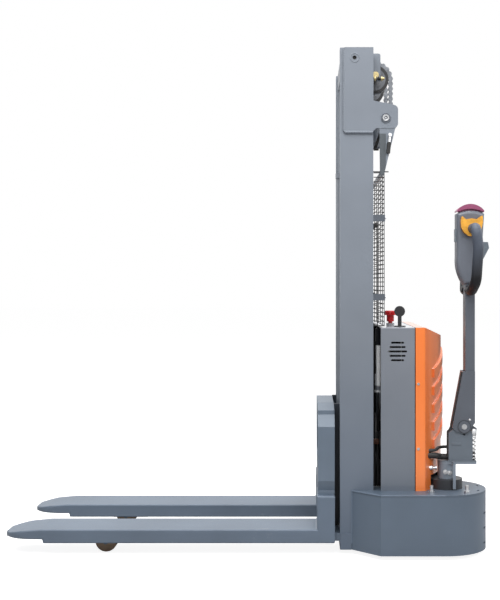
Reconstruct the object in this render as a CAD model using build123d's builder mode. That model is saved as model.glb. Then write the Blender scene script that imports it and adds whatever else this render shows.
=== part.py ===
from build123d import *
import math
import os

os.makedirs("parts", exist_ok=True)

# Frame: +X points to the operator end, +Y away from the near side, +Z up from the floor
sides = (("near", -1), ("far", 1))
bottom_up = (Align.CENTER, Align.CENTER, Align.MIN)

# Clearances shared by all fits
running_fit = 0.1
free_gap = 0.5
seat_gap = 0.3

# Outer mast channels
mast_front_x = 339
mast_depth = 122
mast_half_width = 300
mast_top_z = 1856
mast_foot_z = 18
mast_web = 8
mast_flange = 12
mast_channel_width = 50
mast_mid_x = mast_front_x + mast_depth / 2
mast_rear_x = mast_front_x + mast_depth
mast_inner_y = mast_half_width - mast_channel_width
mast_web_inner_y = mast_half_width - mast_web
base_beam_height = 20
sling_hole_radius = 7.5
sling_hole_inset_x = 53
sling_hole_drop = 38
foot_pad_height = 60
foot_pad_thickness = 3
foot_pad_inset = 4

# Mast head frame, welded outside the channels and bulging to the rear
head_plate = 8
head_inset_x = 16
head_height = 306
bulge_depth = 90
bulge_flat = 64
bulge_height = 88
bulge_rise = 10
bulge_shoulder = 13
bulge_corner_radius = 18
tie_depth = 50
tie_height = 74
tie_wall = 6
tie_inset = 6
boss_radius = 18
boss_height = 3

# Inner mast, nested between the outer channels
mast_side_gap = 4
inner_depth = 110
inner_flange = 12
inner_web = 8
inner_groove = 34
inner_foot_gap = 6
inner_top_drop = 6
inner_foot_z = mast_foot_z + base_beam_height + inner_foot_gap
inner_top_z = mast_top_z - inner_top_drop
inner_outer_y = mast_inner_y - mast_side_gap
inner_web_outer_y = inner_outer_y - inner_groove
inner_web_inner_y = inner_web_outer_y - inner_web
inner_lip_y = inner_web_inner_y - inner_groove
inner_front_x = mast_mid_x - inner_depth / 2
inner_rear_x = mast_mid_x + inner_depth / 2
inner_beam_depth = 55
inner_beam_height = 70
foot_beam_depth = 35
foot_beam_height = 34

# Mast and carriage rollers
roller_play = 0.5
stub_radius = 15
roller_width = 28
roller_side_gap = 3
roller_chamfer = 2
foot_roller_radius = mast_depth / 2 - mast_flange - roller_play
track_roller_radius = inner_depth / 2 - inner_flange - roller_play
foot_roller_rise = 60
foot_roller_z = inner_foot_z + foot_roller_rise
top_roller_drop = 70
top_roller_z = mast_top_z - top_roller_drop

# Lift cylinder on the centre line
cylinder_x = 372
barrel_radius = 38
barrel_bore = 32
barrel_length = 1386
barrel_floor = 18
gland_radius = 42
gland_length = 20
rod_radius = 22.5
piston_length = 24
piston_stop = 20
base_top_z = mast_foot_z + base_beam_height

# Lift chains and their pulleys
pulley_x = 474
pulley_drop = 80
pulley_z = inner_top_z - pulley_drop
pulley_radius = 55
pulley_width = 26
chain_y = 125
chain_width = 14
chain_height = 15
pulley_shaft_radius = 12
bracket_thickness = 10
bracket_inset = 21
bracket_reach = 37
bracket_below = 22
bracket_corner = 8
shaft_overhang = 4
chain_inner_radius = pulley_radius + seat_gap
chain_outer_radius = chain_inner_radius + chain_height
chain_front_x = pulley_x - chain_inner_radius - chain_height / 2
chain_rear_x = pulley_x + chain_inner_radius + chain_height / 2

# Chassis box with the rounded lobe of the drive unit
chassis_bottom_z = 18
chassis_top_z = 234
chassis_half_width = 400
skirt_wall = 6
deck_thickness = 8
flare_front_x = 382
lobe_radius = 165
lobe_x = 716
chassis_rear_x = 755
rear_corner_radius = 60
deck_bottom_z = chassis_top_z - deck_thickness
drain_slot_depth = 36
drain_slot_width = 56
drain_slot_height = 7
drain_slot_pitch = 54
drain_slot_z = 98
drain_slot_y_offset = 46

# Steering axis and drive unit
steer_x = 735
steer_y = lobe_radius - chassis_half_width
head_radius = 60
head_top_z = 270
crown_radius = 75
crown_thickness = 18
bearing_height = 3.4
bearing_width = 12
stud_ring_radius = 128
stud_count = 2
stud_radius = 6
stud_height = 28
stud_phase = -121
stud_spread = 60
nut_radius = 11
nut_height = 8
deck_slot_length = 20
deck_slot_width = 7
deck_slot_radius = 126
deck_slot_phase = -29
deck_slot_spread = 44
drive_wheel_radius = 100
drive_wheel_width = 70
drive_hub_radius = 62
drive_axle_radius = 17
drive_leg_gap = 3
drive_leg_thickness = 12
drive_leg_half_depth = 36
drive_leg_below_axle = 30
tyre_edge = 8

# Balance caster under the far side of the deck
caster_x = 620
caster_inset = 135
caster_y = chassis_half_width - caster_inset
caster_stem_radius = 12
caster_boss_radius = 30
caster_boss_height = 22
caster_wheel_radius = 75
caster_wheel_width = 46
caster_trail = 45
caster_axle_radius = 10
caster_leg_thickness = 8
caster_leg_half_depth = 22
caster_crown_height = 14
caster_wheel_top_gap = 8


def along_y(x, y, z, direction):
    """Plane at a point whose normal runs along Y in the given direction."""
    return Plane((x, y, z), x_dir=(1, 0, 0), z_dir=(0, direction, 0))


# Chassis outline seen from above
flare_rear_x = flare_front_x + chassis_half_width - mast_half_width
lobe_exit_y = steer_y + math.sqrt(lobe_radius**2 - (chassis_rear_x - lobe_x) ** 2)
with BuildSketch() as chassis_plan:
    with BuildLine():
        Polyline(
            (lobe_x, -chassis_half_width),
            (flare_rear_x, -chassis_half_width),
            (flare_front_x, -mast_half_width),
            (mast_rear_x, -mast_half_width),
            (mast_rear_x, mast_half_width),
            (flare_front_x, mast_half_width),
            (flare_rear_x, chassis_half_width),
            (chassis_rear_x - rear_corner_radius, chassis_half_width),
        )
        TangentArc(
            (chassis_rear_x - rear_corner_radius, chassis_half_width),
            (chassis_rear_x, chassis_half_width - rear_corner_radius),
            tangent=(1, 0),
        )
        Line((chassis_rear_x, chassis_half_width - rear_corner_radius), (chassis_rear_x, lobe_exit_y))
        ThreePointArc(
            (chassis_rear_x, lobe_exit_y),
            (lobe_x + lobe_radius, steer_y),
            (lobe_x, -chassis_half_width),
        )
    make_face()

# Bent skirt wall all round the chassis, with drain slots at the back of the lobe
with BuildPart() as chassis_skirt:
    with BuildSketch(Plane.XY.offset(chassis_bottom_z)):
        add(chassis_plan.sketch)
        offset(amount=-skirt_wall, kind=Kind.INTERSECTION, mode=Mode.SUBTRACT)
    extrude(amount=deck_bottom_z - chassis_bottom_z)
    for step in (-1, 0, 1):
        with Locations(
            (
                lobe_x + lobe_radius,
                steer_y - drain_slot_y_offset,
                drain_slot_z + step * drain_slot_pitch,
            )
        ):
            Box(drain_slot_depth, drain_slot_width, drain_slot_height, mode=Mode.SUBTRACT)
chassis_skirt.part.label = "chassis_skirt"
export_step(chassis_skirt.part, "parts/chassis_skirt.step")

# Deck plate on the skirt, with the steering hole, stud holes, slots and the caster boss
with BuildPart() as chassis_deck:
    with BuildSketch(Plane.XY.offset(deck_bottom_z)):
        add(chassis_plan.sketch)
        with Locations((steer_x, steer_y)):
            Circle(head_radius + free_gap, mode=Mode.SUBTRACT)
            with PolarLocations(
                stud_ring_radius,
                stud_count,
                start_angle=stud_phase,
                angular_range=stud_spread,
                endpoint=True,
            ):
                Circle(stud_radius + running_fit, mode=Mode.SUBTRACT)
            with PolarLocations(
                deck_slot_radius,
                2,
                start_angle=deck_slot_phase,
                angular_range=deck_slot_spread,
                endpoint=True,
            ):
                SlotOverall(deck_slot_length, deck_slot_width, rotation=90, mode=Mode.SUBTRACT)
    extrude(amount=deck_thickness)
    with Locations((caster_x, caster_y, deck_bottom_z - caster_boss_height)):
        Cylinder(caster_boss_radius, caster_boss_height, align=bottom_up)
    with Locations((caster_x, caster_y, deck_bottom_z - caster_boss_height)):
        Cylinder(
            caster_stem_radius + running_fit,
            caster_boss_height,
            align=bottom_up,
            mode=Mode.SUBTRACT,
        )
chassis_deck.part.label = "chassis_deck"
export_step(chassis_deck.part, "parts/chassis_deck.step")

# Outer mast channels, open towards the centre, with a welded stub for the top roller
for side, sign in sides:
    with BuildPart() as mast_channel:
        with BuildSketch(Plane.XY.offset(mast_foot_z)):
            with Locations((mast_mid_x, sign * (mast_half_width - mast_channel_width / 2))):
                Rectangle(mast_depth, mast_channel_width)
            with Locations((mast_mid_x, sign * (mast_inner_y + mast_web_inner_y) / 2)):
                Rectangle(
                    mast_depth - 2 * mast_flange,
                    mast_channel_width - mast_web,
                    mode=Mode.SUBTRACT,
                )
        extrude(amount=mast_top_z - mast_foot_z)
        with BuildSketch(along_y(mast_mid_x, sign * mast_web_inner_y, top_roller_z, -sign)):
            Circle(stub_radius)
        extrude(amount=mast_web_inner_y - inner_web_outer_y - 2 * roller_side_gap)
        hole_plane = along_y(
            mast_front_x + sling_hole_inset_x,
            sign * (mast_half_width + head_plate),
            mast_top_z - sling_hole_drop,
            -sign,
        )
        with BuildSketch(hole_plane):
            Circle(sling_hole_radius)
        extrude(amount=head_plate + 2 * mast_web, mode=Mode.SUBTRACT)
        with Locations(
            (
                (mast_front_x + flare_front_x) / 2,
                sign * (mast_half_width + foot_pad_thickness / 2),
                mast_foot_z,
            )
        ):
            Box(
                flare_front_x - mast_front_x - foot_pad_inset,
                foot_pad_thickness,
                foot_pad_height,
                align=bottom_up,
            )
    mast_channel.part.label = f"mast_channel_{side}"
    export_step(mast_channel.part, f"parts/mast_channel_{side}.step")

# Head frame: side plates with the rearward bulge, joined by a box tie behind the mast
head_front_x = mast_front_x + head_inset_x
head_bottom_z = mast_top_z - head_height
bulge_rear_x = mast_rear_x + bulge_depth
bulge_bottom_z = head_bottom_z + bulge_rise
bulge_top_z = bulge_bottom_z + bulge_height
tie_rear_x = bulge_rear_x - tie_inset
tie_top_z = bulge_bottom_z + tie_inset + tie_height
with BuildPart() as mast_head_frame:
    for side, sign in sides:
        with BuildSketch(along_y(0, sign * mast_half_width, 0, sign)):
            with BuildLine():
                Polyline(
                    (head_front_x, -sign * head_bottom_z),
                    (mast_rear_x, -sign * head_bottom_z),
                    (mast_rear_x + bulge_rise, -sign * bulge_bottom_z),
                    (bulge_rear_x, -sign * bulge_bottom_z),
                    (bulge_rear_x, -sign * (bulge_top_z - bulge_shoulder / 2)),
                    (mast_rear_x + bulge_flat, -sign * bulge_top_z),
                    (mast_rear_x, -sign * (bulge_top_z + bulge_shoulder)),
                    (mast_rear_x, -sign * mast_top_z),
                    (head_front_x, -sign * mast_top_z),
                    close=True,
                )
            make_face()
            with Locations((mast_front_x + sling_hole_inset_x, -sign * (mast_top_z - sling_hole_drop))):
                Circle(sling_hole_radius, mode=Mode.SUBTRACT)
        extrude(amount=head_plate)
    fillet(
        mast_head_frame.edges().filter_by(Axis.Y).group_by(Axis.X)[-1],
        radius=bulge_corner_radius,
    )
    with Locations((tie_rear_x - tie_depth / 2, 0, tie_top_z - tie_height / 2)):
        Box(tie_depth, 2 * mast_half_width, tie_height)
        Box(
            tie_depth - 2 * tie_wall,
            2 * mast_half_width,
            tie_height - 2 * tie_wall,
            mode=Mode.SUBTRACT,
        )
    for side, sign in sides:
        boss_plane = along_y(
            mast_rear_x + bulge_depth / 2,
            sign * (mast_half_width + head_plate),
            bulge_bottom_z + tie_height / 2,
            sign,
        )
        with BuildSketch(boss_plane):
            Circle(boss_radius)
        extrude(amount=boss_height)
mast_head_frame.part.label = "mast_head_frame"
export_step(mast_head_frame.part, "parts/mast_head_frame.step")

# Base beam between the channel feet; the cylinder stands on it
with BuildPart() as mast_base_beam:
    with Locations((mast_mid_x, 0, mast_foot_z)):
        Box(mast_depth, 2 * mast_inner_y, base_beam_height, align=bottom_up)
mast_base_beam.part.label = "mast_base_beam"
export_step(mast_base_beam.part, "parts/mast_base_beam.step")

# Lift cylinder barrel with its gland
barrel_top_z = base_top_z + barrel_length
with BuildPart() as lift_cylinder:
    with Locations((cylinder_x, 0, base_top_z)):
        Cylinder(barrel_radius, barrel_length, align=bottom_up)
    with Locations((cylinder_x, 0, barrel_top_z - gland_length)):
        Cylinder(gland_radius, gland_length, align=bottom_up)
    with Locations((cylinder_x, 0, base_top_z + barrel_floor)):
        Cylinder(
            barrel_bore,
            barrel_length - barrel_floor - gland_length,
            align=bottom_up,
            mode=Mode.SUBTRACT,
        )
    with Locations((cylinder_x, 0, barrel_top_z - gland_length)):
        Cylinder(rod_radius + running_fit, gland_length, align=bottom_up, mode=Mode.SUBTRACT)
lift_cylinder.part.label = "lift_cylinder"
export_step(lift_cylinder.part, "parts/lift_cylinder.step")

# Rod and piston, which push up the top beam of the inner mast
piston_z = base_top_z + barrel_floor + piston_stop
beam_bottom_z = inner_top_z - inner_beam_height
with BuildPart() as cylinder_rod:
    with Locations((cylinder_x, 0, piston_z)):
        Cylinder(barrel_bore - seat_gap, piston_length, align=bottom_up)
        Cylinder(rod_radius, beam_bottom_z - piston_z, align=bottom_up)
cylinder_rod.part.label = "cylinder_rod"
export_step(cylinder_rod.part, "parts/cylinder_rod.step")

# Inner mast channels: grooved on both faces, with the foot roller stub and the shaft bracket
for side, sign in sides:
    with BuildPart() as inner_channel:
        with BuildSketch(Plane.XY.offset(inner_foot_z)):
            with Locations((mast_mid_x, sign * (inner_outer_y + inner_lip_y) / 2)):
                Rectangle(inner_depth, inner_outer_y - inner_lip_y)
            for groove_y in (inner_outer_y + inner_web_outer_y, inner_web_inner_y + inner_lip_y):
                with Locations((mast_mid_x, sign * groove_y / 2)):
                    Rectangle(
                        inner_depth - 2 * inner_flange,
                        inner_groove,
                        mode=Mode.SUBTRACT,
                    )
        extrude(amount=inner_top_z - inner_foot_z)
        with BuildSketch(along_y(mast_mid_x, sign * inner_web_outer_y, foot_roller_z, sign)):
            Circle(stub_radius)
        extrude(amount=mast_web_inner_y - inner_web_outer_y - 2 * roller_side_gap)
        with BuildSketch(along_y(0, sign * (inner_outer_y - bracket_inset), 0, -sign)):
            with Locations((inner_rear_x, sign * (pulley_z - bracket_below))):
                Rectangle(
                    bracket_reach,
                    inner_top_z - pulley_z + bracket_below,
                    align=(Align.MIN, Align.MIN if sign > 0 else Align.MAX),
                )
            with Locations((pulley_x, sign * pulley_z)):
                Circle(pulley_shaft_radius + running_fit / 2, mode=Mode.SUBTRACT)
        extrude(amount=bracket_thickness)
        fillet(
            inner_channel.edges().filter_by(Axis.Y).group_by(Axis.X)[-1].sort_by(Axis.Z)[-1],
            radius=bracket_corner,
        )
    inner_channel.part.label = f"inner_channel_{side}"
    export_step(inner_channel.part, f"parts/inner_channel_{side}.step")

# Top and bottom beams of the inner mast
with BuildPart() as inner_top_beam:
    with Locations((inner_front_x + inner_beam_depth / 2, 0, beam_bottom_z)):
        Box(inner_beam_depth, 2 * inner_lip_y, inner_beam_height, align=bottom_up)
inner_top_beam.part.label = "inner_top_beam"
export_step(inner_top_beam.part, "parts/inner_top_beam.step")

with BuildPart() as inner_bottom_beam:
    with Locations((inner_rear_x - foot_beam_depth / 2, 0, inner_foot_z)):
        Box(foot_beam_depth, 2 * inner_lip_y, foot_beam_height, align=bottom_up)
inner_bottom_beam.part.label = "inner_bottom_beam"
export_step(inner_bottom_beam.part, "parts/inner_bottom_beam.step")

# Shaft across the mast that carries both chain pulleys
shaft_half_length = inner_outer_y - bracket_inset + shaft_overhang
with BuildPart() as pulley_shaft:
    with BuildSketch(along_y(pulley_x, 0, pulley_z, 1)):
        Circle(pulley_shaft_radius)
    extrude(amount=shaft_half_length, both=True)
pulley_shaft.part.label = "pulley_shaft"
export_step(pulley_shaft.part, "parts/pulley_shaft.step")

# Pair of chain pulleys on the shaft
with BuildPart() as chain_pulleys:
    for side, sign in sides:
        with BuildSketch(along_y(pulley_x, sign * chain_y, pulley_z, 1)):
            Circle(pulley_radius)
            Circle(pulley_shaft_radius + running_fit, mode=Mode.SUBTRACT)
        extrude(amount=pulley_width / 2, both=True)
chain_pulleys.part.label = "chain_pulleys"
export_step(chain_pulleys.part, "parts/chain_pulleys.step")

# Chains: rear runs from the tie, half turns over the pulleys, front runs to the carriage
with BuildPart() as chain_wraps:
    for side, sign in sides:
        with BuildSketch(along_y(pulley_x, sign * chain_y, pulley_z, -1)):
            Circle(chain_outer_radius)
            Circle(chain_inner_radius, mode=Mode.SUBTRACT)
            with Locations((0, -chain_outer_radius)):
                Rectangle(
                    2 * chain_outer_radius,
                    2 * chain_outer_radius,
                    mode=Mode.SUBTRACT,
                )
        extrude(amount=chain_width / 2, both=True)
chain_wraps.part.label = "chain_wraps"
export_step(chain_wraps.part, "parts/chain_wraps.step")

with BuildPart() as chain_rear_runs:
    for side, sign in sides:
        with Locations((chain_rear_x, sign * chain_y, tie_top_z)):
            Box(chain_height, chain_width, pulley_z - tie_top_z, align=bottom_up)
chain_rear_runs.part.label = "chain_rear_runs"
export_step(chain_rear_runs.part, "parts/chain_rear_runs.step")

# Fork carriage in front of the mast
frame_front_x = 258
frame_depth = 62
frame_half_width = 300
frame_top_z = 538
frame_bottom_z = 217
frame_crown_half_width = 130
frame_shoulder_half_width = 270
frame_shoulder_z = 524
frame_shoulder_height = 15
frame_cheek_z = 467
frame_waist_z = 269
frame_waist_half_width = 285
frame_foot_height = 16
window_half_width = 215
window_bottom_z = 300
window_top_z = 470
window_corner = 20
side_plate_thickness = 12
side_plate_gap = 6
side_plate_length = 125
side_plate_foot_gap = 7
carriage_high_z = 505
carriage_low_z = 140
anchor_width = 20
anchor_height = 22
anchor_top_drop = 50
frame_rear_x = frame_front_x + frame_depth
side_plate_outer_y = inner_lip_y - side_plate_gap
side_plate_bottom_z = inner_foot_z + foot_beam_height + side_plate_foot_gap
anchor_top_z = frame_top_z - anchor_top_drop

# Frame with sloped shoulders and a window, roller side plates, stubs and chain anchors
with BuildPart() as carriage_frame:
    with BuildSketch(Plane.YZ.offset(frame_front_x)):
        with BuildLine():
            Polyline(
                (0, frame_top_z),
                (frame_crown_half_width, frame_top_z),
                (frame_shoulder_half_width, frame_shoulder_z),
                (frame_shoulder_half_width, frame_shoulder_z - frame_shoulder_height),
                (frame_half_width, frame_cheek_z),
                (frame_half_width, frame_waist_z),
                (frame_waist_half_width, frame_bottom_z + frame_foot_height),
                (frame_waist_half_width, frame_bottom_z),
                (0, frame_bottom_z),
            )
            mirror(about=Plane.YZ)
        make_face()
        with Locations((0, (window_bottom_z + window_top_z) / 2)):
            RectangleRounded(
                2 * window_half_width,
                window_top_z - window_bottom_z,
                window_corner,
                mode=Mode.SUBTRACT,
            )
    extrude(amount=frame_depth)
    for side, sign in sides:
        with Locations(
            (
                frame_rear_x + side_plate_length / 2,
                sign * (side_plate_outer_y - side_plate_thickness / 2),
                side_plate_bottom_z,
            )
        ):
            Box(
                side_plate_length,
                side_plate_thickness,
                frame_top_z - side_plate_bottom_z,
                align=bottom_up,
            )
        for roller_z in (carriage_high_z, carriage_low_z):
            with BuildSketch(along_y(mast_mid_x, sign * side_plate_outer_y, roller_z, sign)):
                Circle(stub_radius)
            extrude(amount=inner_web_inner_y - 2 * roller_side_gap - side_plate_outer_y)
        anchor_length = chain_front_x + chain_height - frame_rear_x
        with Locations((frame_rear_x + anchor_length / 2, sign * chain_y, anchor_top_z - anchor_height)):
            Box(anchor_length, anchor_width, anchor_height, align=bottom_up)
carriage_frame.part.label = "carriage_frame"
export_step(carriage_frame.part, "parts/carriage_frame.step")

with BuildPart() as chain_front_runs:
    for side, sign in sides:
        with Locations((chain_front_x, sign * chain_y, anchor_top_z)):
            Box(chain_height, chain_width, pulley_z - anchor_top_z, align=bottom_up)
chain_front_runs.part.label = "chain_front_runs"
export_step(chain_front_runs.part, "parts/chain_front_runs.step")

# Four pairs of mast rollers on their stubs: name, radius, inner face and height
roller_pairs = (
    ("mast_top_rollers", track_roller_radius, inner_web_outer_y + roller_side_gap, top_roller_z),
    (
        "inner_foot_rollers",
        foot_roller_radius,
        mast_web_inner_y - roller_side_gap - roller_width,
        foot_roller_z,
    ),
    (
        "carriage_high_rollers",
        track_roller_radius,
        inner_web_inner_y - roller_side_gap - roller_width,
        carriage_high_z,
    ),
    (
        "carriage_low_rollers",
        track_roller_radius,
        inner_web_inner_y - roller_side_gap - roller_width,
        carriage_low_z,
    ),
)
for pair_name, pair_radius, pair_face_y, pair_z in roller_pairs:
    with BuildPart() as roller_pair:
        for side, sign in sides:
            with BuildSketch(along_y(mast_mid_x, sign * pair_face_y, pair_z, sign)):
                Circle(pair_radius)
                Circle(stub_radius + running_fit, mode=Mode.SUBTRACT)
            extrude(amount=roller_width)
        rims = roller_pair.edges().filter_by(lambda edge: edge.geom_type == GeomType.CIRCLE)
        chamfer(rims.filter_by(lambda edge: edge.radius > pair_radius - 1), length=roller_chamfer)
    roller_pair.part.label = pair_name
    export_step(roller_pair.part, f"parts/{pair_name}.step")

# Forks: pressed blades open below, over the support legs, with a box heel
fork_length = 1150
fork_half_spacing = 225
fork_width = 190
fork_top_z = 95
fork_wall_height = 49
fork_skin = 5
fork_top_skin = 6
heel_depth = 65
heel_wall = 8
nose_corner_radius = 80
nose_length = 150
nose_step = 13
nose_flat_from = 100
nose_top_length = 140
nose_bend_length = 65
nose_bend_droop = 6
nose_tip_thickness = 13
nose_droop = 18
heel_front_x = frame_rear_x - heel_depth
fork_tip_x = heel_front_x - fork_length
fork_bottom_z = fork_top_z - fork_wall_height
for side, sign in sides:
    with BuildPart() as fork:
        with BuildSketch(Plane.XY.offset(fork_bottom_z)):
            with Locations((fork_tip_x, sign * fork_half_spacing)):
                Rectangle(fork_length + heel_depth, fork_width, align=(Align.MIN, Align.CENTER))
        extrude(amount=fork_wall_height)
        fillet(
            fork.edges().filter_by(Axis.Z).group_by(Axis.X)[0],
            radius=nose_corner_radius,
        )
        with Locations((heel_front_x, sign * fork_half_spacing, fork_top_z)):
            Box(
                heel_depth,
                fork_width,
                frame_bottom_z - fork_top_z,
                align=(Align.MIN, Align.CENTER, Align.MIN),
            )
        with Locations((fork_tip_x + nose_length, sign * fork_half_spacing, fork_bottom_z)):
            Box(
                fork_length + heel_depth - nose_length,
                fork_width - 2 * fork_skin,
                fork_wall_height - fork_top_skin,
                align=(Align.MIN, Align.CENTER, Align.MIN),
                mode=Mode.SUBTRACT,
            )
        with Locations((heel_front_x + heel_wall, sign * fork_half_spacing, fork_bottom_z)):
            Box(
                heel_depth - 2 * heel_wall,
                fork_width - 2 * heel_wall,
                frame_bottom_z - heel_wall - fork_bottom_z,
                align=(Align.MIN, Align.CENTER, Align.MIN),
                mode=Mode.SUBTRACT,
            )
        with BuildSketch(Plane.XZ.offset(-sign * fork_half_spacing)):
            with BuildLine():
                Polyline(
                    (fork_tip_x, fork_bottom_z),
                    (fork_tip_x + nose_length, fork_bottom_z),
                    (fork_tip_x + nose_length, fork_bottom_z + nose_step),
                    (fork_tip_x + nose_flat_from, fork_bottom_z + nose_step),
                    (fork_tip_x, fork_top_z - nose_droop - nose_tip_thickness),
                    close=True,
                )
            make_face()
            with BuildLine():
                Polyline(
                    (fork_tip_x, fork_top_z),
                    (fork_tip_x, fork_top_z - nose_droop),
                    (fork_tip_x + nose_bend_length, fork_top_z - nose_bend_droop),
                    (fork_tip_x + nose_top_length, fork_top_z),
                    close=True,
                )
            make_face()
        extrude(amount=fork_width, both=True, mode=Mode.SUBTRACT)
    fork.part.label = f"fork_{side}"
    export_step(fork.part, f"parts/fork_{side}.step")

# Support legs inside the forks, with a clevis and axle for the load roller
leg_width = 150
leg_bottom_z = 50
leg_height = 28
load_roller_x = -525
load_roller_radius = 40
load_roller_width = 70
load_axle_radius = 10
clevis_gap = 1.5
clevis_cheek = 10
clevis_front = 50
clevis_rear = 90
clevis_bottom_z = 35
clevis_height = 39
leg_roller_gap = 15
roller_edge = 4
leg_front_x = load_roller_x + load_roller_radius + leg_roller_gap
cheek_inner = load_roller_width / 2 + clevis_gap
for side, sign in sides:
    leg_y = sign * fork_half_spacing
    with BuildPart() as support_leg:
        with Locations((leg_front_x, leg_y, leg_bottom_z)):
            Box(
                mast_front_x - leg_front_x,
                leg_width,
                leg_height,
                align=(Align.MIN, Align.CENTER, Align.MIN),
            )
        for cheek in (-1, 1):
            with Locations(
                (
                    load_roller_x - clevis_front,
                    leg_y + cheek * (cheek_inner + clevis_cheek / 2),
                    clevis_bottom_z,
                )
            ):
                Box(
                    clevis_front + clevis_rear,
                    clevis_cheek,
                    clevis_height,
                    align=(Align.MIN, Align.CENTER, Align.MIN),
                )
        with BuildSketch(along_y(load_roller_x, leg_y, load_roller_radius, 1)):
            Circle(load_axle_radius)
        extrude(amount=cheek_inner + clevis_cheek, both=True)
    support_leg.part.label = f"support_leg_{side}"
    export_step(support_leg.part, f"parts/support_leg_{side}.step")

    with BuildPart() as load_roller:
        with BuildSketch(along_y(load_roller_x, leg_y, load_roller_radius, 1)):
            Circle(load_roller_radius)
            Circle(load_axle_radius + running_fit, mode=Mode.SUBTRACT)
        extrude(amount=load_roller_width / 2, both=True)
        rims = load_roller.edges().filter_by(lambda edge: edge.geom_type == GeomType.CIRCLE)
        fillet(rims.filter_by(lambda edge: edge.radius > load_roller_radius - 1), radius=roller_edge)
    load_roller.part.label = f"load_roller_{side}"
    export_step(load_roller.part, f"parts/load_roller_{side}.step")

# Steering head: black drum through the deck, crown, legs and the fixed axle
crown_top_z = deck_bottom_z - bearing_height - 2 * seat_gap
crown_bottom_z = crown_top_z - crown_thickness
drive_leg_y = drive_wheel_width / 2 + drive_leg_gap + drive_leg_thickness / 2
with BuildPart() as steering_head:
    with Locations((steer_x, steer_y, crown_bottom_z)):
        Cylinder(head_radius, head_top_z - crown_bottom_z, align=bottom_up)
        Cylinder(crown_radius, crown_thickness, align=bottom_up)
    for cheek in (-1, 1):
        with Locations((steer_x, steer_y + cheek * drive_leg_y, drive_wheel_radius - drive_leg_below_axle)):
            Box(
                2 * drive_leg_half_depth,
                drive_leg_thickness,
                crown_bottom_z - drive_wheel_radius + drive_leg_below_axle,
                align=bottom_up,
            )
    with BuildSketch(along_y(steer_x, steer_y, drive_wheel_radius, 1)):
        Circle(drive_axle_radius)
    extrude(amount=drive_leg_y, both=True)
steering_head.part.label = "steering_head"
export_step(steering_head.part, "parts/steering_head.step")

# Thrust ring between the crown and the deck
with BuildPart() as steering_bearing:
    with BuildSketch(Plane.XY.offset(crown_top_z + seat_gap)):
        with Locations((steer_x, steer_y)):
            Circle(head_radius + free_gap + bearing_width)
            Circle(head_radius + free_gap, mode=Mode.SUBTRACT)
    extrude(amount=bearing_height)
steering_bearing.part.label = "steering_bearing"
export_step(steering_bearing.part, "parts/steering_bearing.step")

# Studs and nuts round the steering head
with BuildPart() as deck_studs:
    with Locations((steer_x, steer_y, 0)):
        with PolarLocations(
            stud_ring_radius,
            stud_count,
            start_angle=stud_phase,
            angular_range=stud_spread,
            endpoint=True,
        ):
            with Locations((0, 0, deck_bottom_z - nut_height)):
                Cylinder(
                    stud_radius,
                    nut_height + deck_thickness + stud_height,
                    align=bottom_up,
                )
    with BuildSketch(Plane.XY.offset(chassis_top_z)):
        with Locations((steer_x, steer_y)):
            with PolarLocations(
                stud_ring_radius,
                stud_count,
                start_angle=stud_phase,
                angular_range=stud_spread,
                endpoint=True,
            ):
                RegularPolygon(nut_radius, 6)
    extrude(amount=nut_height)
deck_studs.part.label = "deck_studs"
export_step(deck_studs.part, "parts/deck_studs.step")

# Drive wheel: motor hub and moulded tyre
with BuildPart() as drive_hub:
    with BuildSketch(along_y(steer_x, steer_y, drive_wheel_radius, 1)):
        Circle(drive_hub_radius)
        Circle(drive_axle_radius + running_fit, mode=Mode.SUBTRACT)
    extrude(amount=drive_wheel_width / 2, both=True)
drive_hub.part.label = "drive_hub"
export_step(drive_hub.part, "parts/drive_hub.step")

with BuildPart() as drive_tyre:
    with BuildSketch(along_y(steer_x, steer_y, drive_wheel_radius, 1)):
        Circle(drive_wheel_radius)
        Circle(drive_hub_radius, mode=Mode.SUBTRACT)
    extrude(amount=drive_wheel_width / 2, both=True)
    rims = drive_tyre.edges().filter_by(lambda edge: edge.geom_type == GeomType.CIRCLE)
    fillet(rims.filter_by(lambda edge: edge.radius > drive_wheel_radius - 1), radius=tyre_edge)
drive_tyre.part.label = "drive_tyre"
export_step(drive_tyre.part, "parts/drive_tyre.step")

# Balance caster: swivelling fork and its wheel, trailing behind the stem
caster_wheel_x = caster_x - caster_trail
caster_leg_y = caster_wheel_width / 2 + drive_leg_gap + caster_leg_thickness / 2
caster_crown_z = 2 * caster_wheel_radius + caster_wheel_top_gap
caster_seat_z = deck_bottom_z - caster_boss_height - seat_gap
with BuildPart() as caster_fork:
    with BuildSketch(Plane.XY.offset(caster_crown_z)):
        with Locations((caster_x - caster_trail / 2, caster_y)):
            SlotCenterToCenter(caster_trail, 2 * (caster_leg_y + caster_leg_thickness / 2))
    extrude(amount=caster_crown_height)
    with Locations((caster_x, caster_y, caster_crown_z)):
        Cylinder(caster_boss_radius, caster_seat_z - caster_crown_z, align=bottom_up)
        Cylinder(caster_stem_radius, deck_bottom_z - seat_gap - caster_crown_z, align=bottom_up)
    for cheek in (-1, 1):
        with Locations(
            (
                caster_wheel_x,
                caster_y + cheek * caster_leg_y,
                caster_wheel_radius - caster_leg_half_depth,
            )
        ):
            Box(
                2 * caster_leg_half_depth,
                caster_leg_thickness,
                caster_crown_z - caster_wheel_radius + caster_leg_half_depth,
                align=bottom_up,
            )
    with BuildSketch(along_y(caster_wheel_x, caster_y, caster_wheel_radius, 1)):
        Circle(caster_axle_radius)
    extrude(amount=caster_leg_y, both=True)
caster_fork.part.label = "caster_fork"
export_step(caster_fork.part, "parts/caster_fork.step")

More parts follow.
